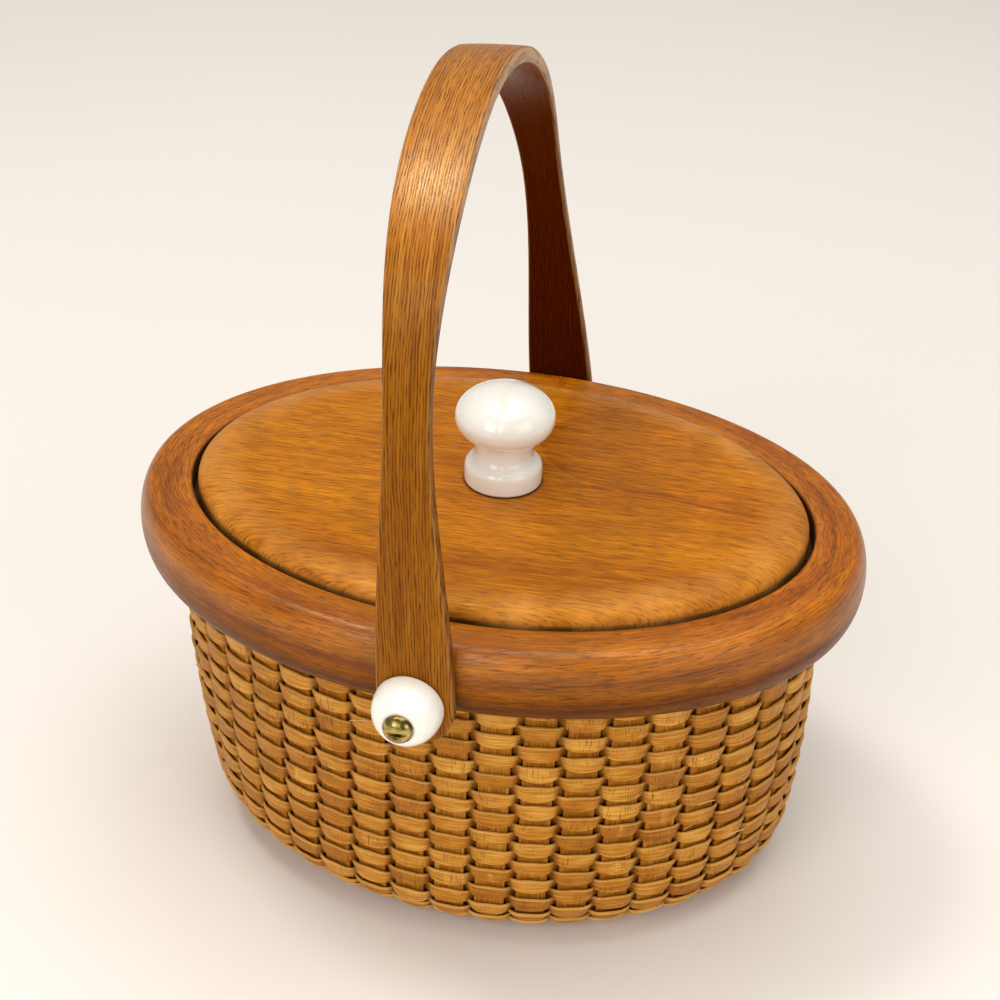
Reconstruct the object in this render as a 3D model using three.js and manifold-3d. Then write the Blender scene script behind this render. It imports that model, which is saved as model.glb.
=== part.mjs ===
// Oval lidded basket: a cane wall woven on upright staves between a grooved base board and a
// hardwood rim, with a bentwood swing handle and a lift-off lid.
// Millimetres, +Z up, X along the oval, Y across it. The origin is under the middle of the base.

import * as THREE from 'three';
import { mergeVertices } from 'three/addons/utils/BufferGeometryUtils.js';
import Module from 'manifold-3d';

const wasm = await Module();
wasm.setup();

// Oval mouth inside the rim, which every oval here is offset from.
const MOUTH_LENGTH = 208;
const MOUTH_WIDTH = 150;
const OVAL_STEPS = 48;

// Rim ring: flat top, rounded outer side, ledge for the lid, groove below for the staves.
const BASKET_HEIGHT = 127;
const RIM_BREADTH = 16;
const RIM_HEIGHT = 24;
const RIM_NOSE = 5.6;
const RIM_EASE = 1;
const NOSE_STEPS = 6;
// At the two ends of the oval the ring is broader, both inwards and outwards.
const RIM_END_LIP = 0.85;
const RIM_END_NOSE = 0.8;
const LEDGE_BREADTH = 5;
const LEDGE_DEPTH = 6.5;
const GROOVE_DEPTH = 9;

// Wall: middle of the staves, measured in from the rim's outer side, and its curve to the base.
const WALL_INSET = 14.3;
const WALL_LEAN = THREE.MathUtils.degToRad(2.1);
const CORNER_RADIUS = 17.4;
// From the rim to the base the wall drifts towards +X, draws in further at the two ends of the oval,
// and its staves slant round it, as its maker drew them.
const WALL_DRIFT = 3.4;
const WALL_END_DRAW = 6.5;
const STAVE_SLANT = THREE.MathUtils.degToRad(-2.2);
const SIDE_STEPS = 2;
const CORNER_STEPS = 6;

// Staves and the cane that is woven through them.
const STAVE_COUNT = 43;
const STAVE_THICKNESS = 1.6;
const STAVE_SPACING = 3.6;
const STAVE_TENON = 5.5;
const WEAVER_WIDTH = 6.2;
const WEAVER_THICKNESS = 1.2;
const WEAVER_ROW_GAP = 1.55;
const WEAVE_CLEARANCE = 0.55;
const WEAVE_TURN_MARGIN = 0.25;
const WEAVE_END = THREE.MathUtils.degToRad(66);

// Base board.
const BASE_THICKNESS = 10;
const BASE_EASE = 1;
const FOOT_HEIGHT = 4.5;

// Lid board, with a border that rolls down to its edge.
const LID_RISE = 5.8;
const LID_EDGE = 5.8;
const LID_BORDER = 13;
const LID_CLEARANCE = 1;
const LID_END_CLEARANCE = 0.4;
const BORDER_STEPS = 4;

// Lid knob, turned, and the screw that holds it from below.
const KNOB_FOOT_RADIUS = 12.7;
const KNOB_FOOT_HEIGHT = 4.8;
const KNOB_SHOULDER_RADIUS = 11.2;
const KNOB_SHOULDER_HEIGHT = 7.9;
const KNOB_WAIST_RADIUS = 8.7;
const KNOB_WAIST_HEIGHT = 10.6;
const KNOB_BALL_RADIUS = 16.2;
const KNOB_BALL_HALF_HEIGHT = 9.6;
const KNOB_BALL_START = THREE.MathUtils.degToRad(-50);
const KNOB_BALL_STEPS = 6;
const KNOB_SHIFT = 0.9;
const KNOB_HEIGHT = 33;
const LID_SCREW_RADIUS = 2;
const LID_SCREW_HEAD_RADIUS = 4.2;
const LID_SCREW_HEAD_HEIGHT = 2.4;
const LID_SCREW_REACH = 14;

// Handle: outer height over the pivots, section, and its widths from the ends to the top.
const HANDLE_HEIGHT = 161.2;
const HANDLE_THICKNESS = 5.5;
const HANDLE_STANDOFF = 0.8;
const HANDLE_END_WIDTH = 23.3;
const HANDLE_WAIST_WIDTH = 13.5;
const HANDLE_TOP_WIDTH = 21.2;
const HANDLE_WAIST_HEIGHT = 93;
const HANDLE_EDGE = 1.2;
const HANDLE_HAUNCH = 4.4;
const HANDLE_CROWN = 1.87;
// The bow has sprung a little out of true: its front arm leans to +X and its back arm to -X.
const HANDLE_TWIST = 5.4;
// The ends reach this far below the pivots before they round off.
const HANDLE_TAIL = 2.2;
const HANDLE_STEPS = 12;
const HANDLE_END_STEPS = 4;
const HANDLE_LEAN = THREE.MathUtils.degToRad(-4.77);

// Pivots: a ceramic dome and a round-head screw outside each handle end.
const PIVOT_DEPTH = 16.2;
// The pivots were set this far to -X of the middle of the rim and of the handle's ends.
const PIVOT_SHIFT = 1.1;
const DOME_RADIUS = 10.7;
const DOME_HEIGHT = 11;
const DOME_SEAT_RADIUS = 5;
const DOME_FULLNESS = 2.5;
const DOME_STEPS = 5;
const PIVOT_SCREW_RADIUS = 2.2;
const PIVOT_SCREW_HEAD_RADIUS = 4.7;
const PIVOT_SCREW_HEAD_HEIGHT = 3.2;
const PIVOT_SCREW_BITE = 9;
const SLOT_WIDTH = 1.4;
const SLOT_DEPTH = 1.5;

// Fits.
const SEAT_GAP = 0.3;
const HOLE_CLEARANCE = 0.35;
const GROOVE_CLEARANCE = 0.6;

const mouthA = MOUTH_LENGTH / 2;
const mouthB = MOUTH_WIDTH / 2;
const rimTop = BASKET_HEIGHT;
const rimBottom = BASKET_HEIGHT - RIM_HEIGHT;
const ledgeTop = rimTop - LEDGE_DEPTH;
const wallTop = RIM_BREADTH - WALL_INSET;
const rimHalfWidth = mouthB + RIM_BREADTH;
const pivotHeight = rimTop - PIVOT_DEPTH;
const handleHalfSpan = rimHalfWidth + HANDLE_STANDOFF + HANDLE_THICKNESS;

/** Point of the mouth oval, moved out along its normal by `offset`, and by `end` more at its two ends. */
function ovalPoint(angle, offset, z, end = 0) {
  const normal = ovalNormal(angle);
  const out = offset + end * Math.cos(angle) ** 2;
  return new THREE.Vector3(
    mouthA * Math.cos(angle) + out * normal.x,
    mouthB * Math.sin(angle) + out * normal.y,
    z,
  );
}

function ovalNormal(angle) {
  return new THREE.Vector3(mouthB * Math.cos(angle), mouthA * Math.sin(angle), 0).normalize();
}

/** Closed geometry from corner points and triangles, turned so that its faces point out. */
function solid(points, triangles) {
  let volume = 0;
  for (const [a, b, c] of triangles) {
    volume += points[a].dot(new THREE.Vector3().crossVectors(points[b], points[c]));
  }
  const faces = volume < 0 ? triangles.map(([a, b, c]) => [a, c, b]) : triangles;
  const geometry = new THREE.BufferGeometry();
  const positions = points.flatMap((point) => point.toArray());
  geometry.setAttribute('position', new THREE.Float32BufferAttribute(positions, 3));
  geometry.setIndex(faces.flat());
  return geometry;
}

/** Skin over a row of equal rings; the first and last ring are closed by fans or joined. */
function loft(rings, joined = false) {
  const size = rings[0].length;
  const points = rings.flat();
  const triangles = [];
  const last = joined ? rings.length : rings.length - 1;
  for (let i = 0; i < last; i += 1) {
    const near = i * size;
    const far = ((i + 1) % rings.length) * size;
    for (let k = 0; k < size; k += 1) {
      const next = (k + 1) % size;
      triangles.push([near + k, near + next, far + next], [near + k, far + next, far + k]);
    }
  }
  if (!joined) {
    const end = (rings.length - 1) * size;
    for (let k = 1; k < size - 1; k += 1) {
      triangles.push([0, k + 1, k], [end, end + k, end + k + 1]);
    }
  }
  return solid(points, triangles);
}

/** Ring with the given section of [offset, height, end] corners, all round the oval. */
function ovalRing(section) {
  const rings = [];
  for (let i = 0; i < OVAL_STEPS; i += 1) {
    const angle = (i / OVAL_STEPS) * 2 * Math.PI;
    rings.push(section.map(([offset, z, end]) => ovalPoint(angle, offset, z, end)));
  }
  return loft(rings, true);
}

/** Oval board whose edge follows the given [offset, height, end] corners, from below to above. */
function ovalBoard(edge) {
  const points = [];
  const triangles = [];
  edge.forEach(([offset, z, end], row) => {
    for (let i = 0; i < OVAL_STEPS; i += 1) {
      points.push(ovalPoint((i / OVAL_STEPS) * 2 * Math.PI, offset, z, end));
      const next = (i + 1) % OVAL_STEPS;
      const near = (row - 1) * OVAL_STEPS;
      const far = row * OVAL_STEPS;
      if (row > 0) {
        triangles.push([near + i, near + next, far + next], [near + i, far + next, far + i]);
      }
    }
  });
  const below = points.push(new THREE.Vector3(0, 0, edge[0][1])) - 1;
  const above = points.push(new THREE.Vector3(0, 0, edge[edge.length - 1][1])) - 1;
  const top = (edge.length - 1) * OVAL_STEPS;
  for (let i = 0; i < OVAL_STEPS; i += 1) {
    const next = (i + 1) % OVAL_STEPS;
    triangles.push([below, next, i], [above, top + i, top + next]);
  }
  return solid(points, triangles);
}

/** Turned geometry about Z from [radius, height] corners. */
function turned(profile, steps) {
  return new THREE.LatheGeometry(profile.map(([r, z]) => new THREE.Vector2(r, z)), steps).rotateX(Math.PI / 2);
}

function toManifold(geometry) {
  const bare = geometry.clone();
  bare.deleteAttribute('normal');
  bare.deleteAttribute('uv');
  const merged = mergeVertices(bare, 1e-4);
  return new wasm.Manifold(new wasm.Mesh({
    numProp: 3,
    vertProperties: new Float32Array(merged.attributes.position.array),
    triVerts: new Uint32Array(merged.index.array),
  }));
}

/** The geometry with each of the cutters taken away. */
function cut(geometry, cutters) {
  const body = cutters.reduce((rest, cutter) => rest.subtract(toManifold(cutter)), toManifold(geometry));
  const mesh = body.getMesh();
  const result = new THREE.BufferGeometry();
  result.setAttribute('position', new THREE.Float32BufferAttribute(mesh.vertProperties, 3));
  result.setIndex(Array.from(mesh.triVerts));
  return result;
}

/** Cylinder along Y between two places on that axis. */
function rodAlongY(radius, from, to, z) {
  return new THREE.CylinderGeometry(radius, radius, Math.abs(to - from), 16).translate(0, (from + to) / 2, z);
}

function finish(color, roughness, metalness = 0) {
  return { color, roughness, metalness };
}

const CHERRY_RIM = finish('#8f5427', 0.38);
const CHERRY_LID = finish('#a2672f', 0.4);
const OAK = finish('#a5702f', 0.5);
const PINE = finish('#b48a55', 0.6);
const CANE = finish('#b98b4c', 0.6);
const STAVE_CANE = finish('#a87a40', 0.65);
const PORCELAIN = finish('#f3f1ec', 0.15);
const BRASS = finish('#8d773f', 0.35, 0.9);

const basket = new THREE.Group();

function addPiece(parent, name, geometry, look) {
  const mesh = new THREE.Mesh(geometry, new THREE.MeshStandardMaterial(look));
  mesh.name = name;
  parent.add(mesh);
  return mesh;
}

// Centre line of the wall in section, from the groove of the rim down to the groove of the base:
// a side that leans in more and more, a corner arc, and a level foot.
const cornerCentreZ = FOOT_HEIGHT + CORNER_RADIUS;
const cornerStartZ = cornerCentreZ - CORNER_RADIUS * Math.sin(WALL_LEAN);
const sideDraw = (Math.tan(WALL_LEAN) * (rimBottom - cornerStartZ)) / 2;
const baseEdge = wallTop - sideDraw - CORNER_RADIUS * Math.cos(WALL_LEAN);

/** Share of the way down from the rim to the feet of the staves. */
function wallShare(z) {
  return Math.max(rimBottom - z, 0) / (rimBottom - FOOT_HEIGHT);
}

/** How much further out the wall lies at the ends of the oval than at its sides, at a height below the rim. */
function wallEnd(z) {
  return -WALL_END_DRAW * wallShare(z) ** 3;
}

/** The wall's line from the rim's groove to the base's: offset, height and the further offset at the ends. */
function wallLine() {
  const line = [[wallTop, rimBottom + GROOVE_DEPTH - SEAT_GAP]];
  for (let i = 1; i <= SIDE_STEPS; i += 1) {
    const share = i / SIDE_STEPS;
    line.push([wallTop - sideDraw * share ** 2, rimBottom + (cornerStartZ - rimBottom) * share]);
  }
  for (let i = 1; i <= CORNER_STEPS; i += 1) {
    const angle = WALL_LEAN + (Math.PI / 2 - WALL_LEAN) * (i / CORNER_STEPS);
    line.push([
      baseEdge + CORNER_RADIUS * Math.cos(angle),
      cornerCentreZ - CORNER_RADIUS * Math.sin(angle),
    ]);
  }
  line.push([baseEdge - STAVE_TENON, FOOT_HEIGHT]);
  return line.map(([offset, z]) => new THREE.Vector3(offset, z, wallEnd(z)));
}

const wall = wallLine();
const wallFaces = wall.slice(1).map((end, i) => {
  const run = new THREE.Vector3().subVectors(end, wall[i]);
  const normal = new THREE.Vector2(-run.y, run.x).normalize();
  return { start: wall[i], run, length: Math.hypot(run.x, run.y), normal };
});

/** Place on the wall's line at a distance along it below the rim, with the outward normal there. */
function wallAt(distance) {
  let rest = distance + (wall[0].y - rimBottom);
  let face = wallFaces[0];
  for (const candidate of wallFaces) {
    face = candidate;
    if (rest <= candidate.length) break;
    rest -= candidate.length;
  }
  const place = face.start.clone().addScaledVector(face.run, rest / face.length);
  return { place, normal: face.normal };
}

/** Oval angles of the staves, evenly spaced round the wall; the first is at the back. */
function staveAngles() {
  const steps = STAVE_COUNT * 60;
  const lengths = [0];
  for (let i = 1; i <= steps; i += 1) {
    const before = ovalPoint(Math.PI / 2 + ((i - 1) / steps) * 2 * Math.PI, wallTop, 0);
    const after = ovalPoint(Math.PI / 2 + (i / steps) * 2 * Math.PI, wallTop, 0);
    lengths.push(lengths[i - 1] + before.distanceTo(after));
  }
  const angles = [];
  for (let stave = 0, i = 0; stave < STAVE_COUNT; stave += 1) {
    const target = (lengths[steps] * stave) / STAVE_COUNT;
    while (lengths[i + 1] <= target) i += 1;
    const share = (target - lengths[i]) / (lengths[i + 1] - lengths[i]);
    angles.push(Math.PI / 2 + ((i + share) / steps) * 2 * Math.PI);
  }
  return angles;
}

const staves = staveAngles();

/** Middle of a stave on the wall, at an offset and height, where the wall's ends lie `end` further out. */
function staveMiddle(stave, offset, z, end) {
  const angle = staves[(stave + STAVE_COUNT) % STAVE_COUNT] + STAVE_SLANT * wallShare(z);
  const point = ovalPoint(angle, offset, z, end);
  point.x += WALL_DRIFT * wallShare(z);
  return { angle, point };
}

/** Half the width of a stave at a place on the wall's line. */
function staveHalfWidth(stave, place) {
  const [before, after] = [stave - 1, stave + 1].map((next) => staveMiddle(next, place.x, place.y, place.z).point);
  return (before.distanceTo(after) / 2 - STAVE_SPACING) / 2;
}

/** World point at `side` along a stave's width and `depth` out along the normal from a place on the wall. */
function stavePoint(stave, side, place, normal, depth) {
  const offset = place.x + normal.x * depth;
  const { angle, point } = staveMiddle(stave, offset, place.y + normal.y * depth, place.z);
  const out = ovalNormal(angle);
  return point.addScaledVector(new THREE.Vector3(-out.y, out.x, 0), side);
}

function staveGeometry(stave) {
  const rings = wall.map((place, i) => {
    const before = wallFaces[Math.max(i - 1, 0)].normal;
    const after = wallFaces[Math.min(i, wallFaces.length - 1)].normal;
    const mitre = before.clone().add(after).normalize();
    const reach = STAVE_THICKNESS / 2 / mitre.dot(after);
    const half = staveHalfWidth(stave, place);
    const corners = [[-half, -reach], [half, -reach], [half, reach], [-half, reach]];
    return corners.map(([side, depth]) => stavePoint(stave, side, place, mitre, depth));
  });
  return loft(rings);
}

/** One strand of cane wound down the wall, over one stave and under the next. */
function weaverGeometry() {
  const pitch = WEAVER_WIDTH + WEAVER_ROW_GAP;
  const start = WEAVER_ROW_GAP + WEAVER_WIDTH / 2;
  const sideLength = wallFaces.slice(0, SIDE_STEPS).reduce((sum, face) => sum + face.length, 0);
  const end = sideLength - (wall[0].y - rimBottom) + CORNER_RADIUS * (WEAVE_END - WALL_LEAN);
  const crossings = Math.floor(((end - start) / pitch) * STAVE_COUNT);
  const over = STAVE_THICKNESS / 2 + WEAVE_CLEARANCE;
  const rings = [];
  for (let i = 0; i < crossings; i += 1) {
    const stave = i % STAVE_COUNT;
    const back = i % 2 === 0 ? over : -over - WEAVER_THICKNESS;
    const middle = start + (pitch * i) / STAVE_COUNT;
    for (const way of [-1, 1]) {
      const corners = [
        [middle - WEAVER_WIDTH / 2, back],
        [middle + WEAVER_WIDTH / 2, back],
        [middle, back + WEAVER_THICKNESS],
      ];
      rings.push(corners.map(([distance, depth]) => {
        const { place, normal } = wallAt(distance);
        const side = way * (staveHalfWidth(stave, place) + WEAVE_TURN_MARGIN);
        return stavePoint(stave, side, place, normal, depth);
      }));
    }
  }
  return loft(rings);
}

// Base board with the stave groove in its edge.
const footHalf = STAVE_THICKNESS / 2 + GROOVE_CLEARANCE;
const baseGroove = baseEdge - STAVE_TENON - SEAT_GAP;
addPiece(basket, 'base_board', ovalBoard([
  [baseEdge - BASE_EASE, 0],
  [baseEdge, BASE_EASE],
  [baseEdge, FOOT_HEIGHT - footHalf],
  [baseGroove, FOOT_HEIGHT - footHalf],
  [baseGroove, FOOT_HEIGHT + footHalf],
  [baseEdge, FOOT_HEIGHT + footHalf],
  [baseEdge, BASE_THICKNESS - BASE_EASE],
  [baseEdge - BASE_EASE, BASE_THICKNESS],
].map((corner) => [...corner, wallEnd(FOOT_HEIGHT)])).translate(WALL_DRIFT, 0, 0), PINE);

for (let stave = 0; stave < STAVE_COUNT; stave += 1) {
  addPiece(basket, `stave_${String(stave + 1).padStart(2, '0')}`, staveGeometry(stave), STAVE_CANE);
}
addPiece(basket, 'cane_weaver', weaverGeometry(), CANE);

// Rim ring, with a pilot hole for each pivot screw.
function rimSection() {
  const noseStart = RIM_BREADTH - RIM_NOSE;
  const section = [[0, ledgeTop], [0, rimTop - RIM_EASE], [RIM_EASE, rimTop]].map((corner) => [...corner, -RIM_END_LIP]);
  for (let i = 0; i <= NOSE_STEPS; i += 1) {
    const angle = Math.PI / 2 - (i / NOSE_STEPS) * Math.PI;
    section.push([
      noseStart + RIM_NOSE * Math.cos(angle),
      (rimTop + rimBottom) / 2 + (RIM_HEIGHT / 2) * Math.sin(angle),
      RIM_END_NOSE,
    ]);
  }
  const grooveHalf = STAVE_THICKNESS / 2 + GROOVE_CLEARANCE;
  section.push(
    [wallTop + grooveHalf, rimBottom],
    [wallTop + grooveHalf, rimBottom + GROOVE_DEPTH],
    [wallTop - grooveHalf, rimBottom + GROOVE_DEPTH],
    [wallTop - grooveHalf, rimBottom],
    [-LEDGE_BREADTH, rimBottom, -RIM_END_LIP],
    [-LEDGE_BREADTH, ledgeTop, -RIM_END_LIP],
  );
  return section;
}

const pilotEnd = rimHalfWidth - PIVOT_SCREW_BITE - SEAT_GAP;
const pilotRadius = PIVOT_SCREW_RADIUS + HOLE_CLEARANCE;
const pilots = [-1, 1].map((way) => (
  rodAlongY(pilotRadius, way * pilotEnd, way * (rimHalfWidth + RIM_NOSE), pivotHeight).translate(-PIVOT_SHIFT, 0, 0)
));
addPiece(basket, 'rim', cut(ovalRing(rimSection()), pilots), CHERRY_RIM);

// Lid board on the ledge, with a hole for the knob's screw.
const lidTop = rimTop + LID_RISE;
const lidEnd = -RIM_END_LIP - LID_END_CLEARANCE;
const lidEdge = [[-LID_CLEARANCE, ledgeTop, lidEnd], [-LID_CLEARANCE, ledgeTop + LID_EDGE, lidEnd]];
for (let i = 1; i <= BORDER_STEPS; i += 1) {
  const angle = (i / BORDER_STEPS) * (Math.PI / 2);
  lidEdge.push([
    -LID_CLEARANCE - LID_BORDER * (1 - Math.cos(angle)),
    ledgeTop + LID_EDGE + (lidTop - ledgeTop - LID_EDGE) * Math.sin(angle),
    lidEnd,
  ]);
}
const lidHoleRadius = LID_SCREW_RADIUS + HOLE_CLEARANCE;
const lidHole = turned([[0, ledgeTop - 1], [lidHoleRadius, ledgeTop - 1], [lidHoleRadius, lidTop + 1], [0, lidTop + 1]], 12);
addPiece(basket, 'lid', cut(ovalBoard(lidEdge), [lidHole.translate(KNOB_SHIFT, 0, 0)]), CHERRY_LID);

// Knob: round-shouldered foot, drawn-in waist and flattened ball, with a blind hole from below.
function knobProfile() {
  const holeRadius = LID_SCREW_RADIUS + HOLE_CLEARANCE;
  const holeTop = LID_SCREW_REACH + SEAT_GAP;
  const profile = [[0, holeTop], [holeRadius, holeTop], [holeRadius, 0], [KNOB_FOOT_RADIUS, 0]];
  profile.push(
    [KNOB_FOOT_RADIUS, KNOB_FOOT_HEIGHT],
    [KNOB_SHOULDER_RADIUS, KNOB_SHOULDER_HEIGHT],
    [KNOB_WAIST_RADIUS, KNOB_WAIST_HEIGHT],
  );
  const ballZ = KNOB_HEIGHT - KNOB_BALL_HALF_HEIGHT;
  for (let i = 0; i < KNOB_BALL_STEPS; i += 1) {
    const angle = THREE.MathUtils.lerp(KNOB_BALL_START, Math.PI / 2, i / KNOB_BALL_STEPS);
    profile.push([KNOB_BALL_RADIUS * Math.cos(angle), ballZ + KNOB_BALL_HALF_HEIGHT * Math.sin(angle)]);
  }
  profile.push([0, KNOB_HEIGHT]);
  return profile;
}

const knob = addPiece(basket, 'lid_knob', turned(knobProfile(), 20), PORCELAIN);
knob.position.set(KNOB_SHIFT, 0, lidTop);

const lidScrew = addPiece(basket, 'lid_screw', turned([
  [0, -LID_SCREW_HEAD_HEIGHT],
  [LID_SCREW_HEAD_RADIUS * 0.6, -LID_SCREW_HEAD_HEIGHT],
  [LID_SCREW_HEAD_RADIUS, 0],
  [LID_SCREW_RADIUS, 0],
  [LID_SCREW_RADIUS, lidTop - ledgeTop + LID_SCREW_REACH],
  [0, lidTop - ledgeTop + LID_SCREW_REACH],
], 12), BRASS);
lidScrew.position.set(KNOB_SHIFT, 0, ledgeTop);

// Handle, drawn upright about its pivots and then leaned as it rests.
function handleWidth(height) {
  if (height < -HANDLE_TAIL) return 2 * Math.sqrt((HANDLE_END_WIDTH / 2) ** 2 - (height + HANDLE_TAIL) ** 2);
  const below = height < HANDLE_WAIST_HEIGHT;
  const wide = below ? HANDLE_END_WIDTH : HANDLE_TOP_WIDTH;
  const reach = below ? HANDLE_WAIST_HEIGHT : HANDLE_HEIGHT - HANDLE_WAIST_HEIGHT;
  const share = Math.abs(height - HANDLE_WAIST_HEIGHT) / reach;
  return THREE.MathUtils.lerp(HANDLE_WAIST_WIDTH, wide, THREE.MathUtils.smoothstep(share, 0, 1));
}

/** Outer face of the handle in its own plane: a full-shouldered arch on upright ends. */
function handleOuter(turn) {
  const rise = Math.sin(turn);
  return new THREE.Vector2(
    handleHalfSpan * (1 - rise ** HANDLE_HAUNCH) ** (1 / HANDLE_CROWN),
    HANDLE_HEIGHT * rise,
  );
}

function handleStations() {
  const arm = [];
  for (let i = 0; i < HANDLE_END_STEPS; i += 1) {
    const turn = ((i + 0.35) / HANDLE_END_STEPS) * (Math.PI / 2);
    const height = -HANDLE_TAIL - (HANDLE_END_WIDTH / 2) * Math.cos(turn);
    arm.push({ place: new THREE.Vector2(handleHalfSpan, height), normal: new THREE.Vector2(1, 0) });
  }
  for (let i = 0; i < HANDLE_STEPS; i += 1) {
    const turn = (i / HANDLE_STEPS) * (Math.PI / 2);
    const small = 1e-3;
    const tangent = handleOuter(turn + small).sub(handleOuter(Math.max(turn - small, 0))).normalize();
    arm.push({ place: handleOuter(turn), normal: new THREE.Vector2(tangent.y, -tangent.x) });
  }
  const top = { place: new THREE.Vector2(0, HANDLE_HEIGHT), normal: new THREE.Vector2(0, 1) };
  const other = arm.map(({ place, normal }) => ({
    place: new THREE.Vector2(-place.x, place.y),
    normal: new THREE.Vector2(-normal.x, normal.y),
  }));
  return [...arm, top, ...other.reverse()];
}

function handleGeometry() {
  const rings = handleStations().map(({ place, normal }) => {
    const half = handleWidth(place.y) / 2;
    const flat = half - HANDLE_EDGE;
    const inner = HANDLE_THICKNESS - HANDLE_EDGE;
    const corners = [
      [-flat, 0], [flat, 0], [half, HANDLE_EDGE], [half, inner],
      [flat, HANDLE_THICKNESS], [-flat, HANDLE_THICKNESS], [-half, inner], [-half, HANDLE_EDGE],
    ];
    return corners.map(([x, depth]) => {
      const across = place.x - normal.x * depth;
      const height = place.y - normal.y * depth;
      const sprung = (HANDLE_TWIST * Math.max(height, 0) * across) / (HANDLE_HEIGHT * handleHalfSpan);
      return new THREE.Vector3(x + PIVOT_SHIFT - sprung, across, height);
    });
  });
  const bore = rodAlongY(pilotRadius, -handleHalfSpan - 1, handleHalfSpan + 1, 0);
  return cut(loft(rings), [bore]);
}

const swing = new THREE.Group();
swing.position.set(-PIVOT_SHIFT, 0, pivotHeight);
swing.rotation.y = HANDLE_LEAN;
basket.add(swing);
addPiece(swing, 'handle', handleGeometry(), OAK);

// Pivots, each drawn about Z and laid over to point out of the basket.
function domeProfile() {
  const profile = [[pilotRadius, 0], [DOME_RADIUS, 0]];
  const seatShare = DOME_SEAT_RADIUS / DOME_RADIUS;
  const crown = (1 - seatShare ** DOME_FULLNESS) ** (1 / DOME_FULLNESS);
  for (let i = 1; i <= DOME_STEPS; i += 1) {
    const radius = DOME_RADIUS - (DOME_RADIUS - DOME_SEAT_RADIUS) * (i / DOME_STEPS) ** 2;
    const rise = (1 - (radius / DOME_RADIUS) ** DOME_FULLNESS) ** (1 / DOME_FULLNESS);
    profile.push([radius, (DOME_HEIGHT * rise) / crown]);
  }
  profile.push([pilotRadius, DOME_HEIGHT], [pilotRadius, 0]);
  return profile;
}

const shankLength = DOME_HEIGHT + SEAT_GAP + HANDLE_THICKNESS + HANDLE_STANDOFF + PIVOT_SCREW_BITE;

function pivotScrewGeometry() {
  const profile = [[0, -shankLength], [PIVOT_SCREW_RADIUS, -shankLength], [PIVOT_SCREW_RADIUS, 0]];
  for (let i = 0; i < 4; i += 1) {
    const angle = (i / 4) * (Math.PI / 2);
    profile.push([PIVOT_SCREW_HEAD_RADIUS * Math.cos(angle), PIVOT_SCREW_HEAD_HEIGHT * Math.sin(angle)]);
  }
  profile.push([0, PIVOT_SCREW_HEAD_HEIGHT]);
  const slot = new THREE.BoxGeometry(3 * PIVOT_SCREW_HEAD_RADIUS, SLOT_WIDTH, 2 * SLOT_DEPTH);
  slot.translate(0, 0, PIVOT_SCREW_HEAD_HEIGHT);
  return cut(turned(profile, 14), [slot]);
}

for (const [place, way] of [['front', -1], ['back', 1]]) {
  const pivot = new THREE.Group();
  pivot.position.set(-PIVOT_SHIFT, way * (handleHalfSpan + SEAT_GAP), pivotHeight);
  pivot.rotation.x = (-way * Math.PI) / 2;
  basket.add(pivot);
  addPiece(pivot, `pivot_knob_${place}`, turned(domeProfile(), 18), PORCELAIN);
  const screw = addPiece(pivot, `pivot_screw_${place}`, pivotScrewGeometry(), BRASS);
  screw.position.z = DOME_HEIGHT + SEAT_GAP;
}

export default basket;
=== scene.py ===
"""Oval lidded basket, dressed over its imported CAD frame.

Each sub-assembly is a class that holds its sizes in millimetres, builds its meshes and dresses them.
The woven wall, the rim's moulding, the loose fibres and the pivot fittings grow from Geometry Nodes trees.
"""

import logging
import math
from collections.abc import Sequence
from dataclasses import dataclass, field
from enum import Enum

import bmesh
import bpy
import numpy as np
from mathutils import Matrix, Vector

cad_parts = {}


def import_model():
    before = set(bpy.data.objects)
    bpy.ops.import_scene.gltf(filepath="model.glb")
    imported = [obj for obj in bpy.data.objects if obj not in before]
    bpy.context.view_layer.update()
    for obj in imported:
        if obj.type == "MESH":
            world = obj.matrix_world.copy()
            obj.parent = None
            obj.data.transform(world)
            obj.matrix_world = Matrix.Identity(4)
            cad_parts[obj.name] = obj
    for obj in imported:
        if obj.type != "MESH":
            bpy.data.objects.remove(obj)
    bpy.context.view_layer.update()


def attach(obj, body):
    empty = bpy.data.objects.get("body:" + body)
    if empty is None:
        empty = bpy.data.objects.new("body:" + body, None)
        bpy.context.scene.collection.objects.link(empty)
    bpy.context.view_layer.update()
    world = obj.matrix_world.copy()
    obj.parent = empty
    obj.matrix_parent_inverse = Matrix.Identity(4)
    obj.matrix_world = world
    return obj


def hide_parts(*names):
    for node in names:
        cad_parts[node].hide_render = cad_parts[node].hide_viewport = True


LOG = logging.getLogger("basket")
MM = 0.001
QUARTER = math.pi / 2
FULL = 2 * math.pi
# Angle in degrees above which an edge stays sharp, on a piece that has no angle of its own.
CREASE = 40.0
# A wave texture repeats every 0.314 units, so this over a real spacing is the scale that gives the spacing.
WAVE = 0.314
# Kinds of node that recur. A mark is a value that the mesh carries.
MATH = "ShaderNodeMath"
VECTOR_MATH = "ShaderNodeVectorMath"
RANGE = "ShaderNodeMapRange"
RAMP = "ShaderNodeValToRGB"
MARK = "ShaderNodeAttribute"
POINT_MARK = "GeometryNodeInputNamedAttribute"

Array = np.ndarray
Pair = tuple[float, float]
Corner = tuple[float, float, float]
Profile = list[Pair]
Tree = bpy.types.NodeTree
Node = bpy.types.Node
Socket = bpy.types.NodeSocket
Feed = Node | Socket
Inputs = dict[str | int, object] | Sequence[object]
Mesh = bpy.types.Mesh
Material = bpy.types.Material
Piece = bpy.types.Object


class Body(Enum):
    """Moving bodies of the CAD frame."""

    BASKET = "basket"
    HANDLE = "handle"
    LID = "lid"


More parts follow.
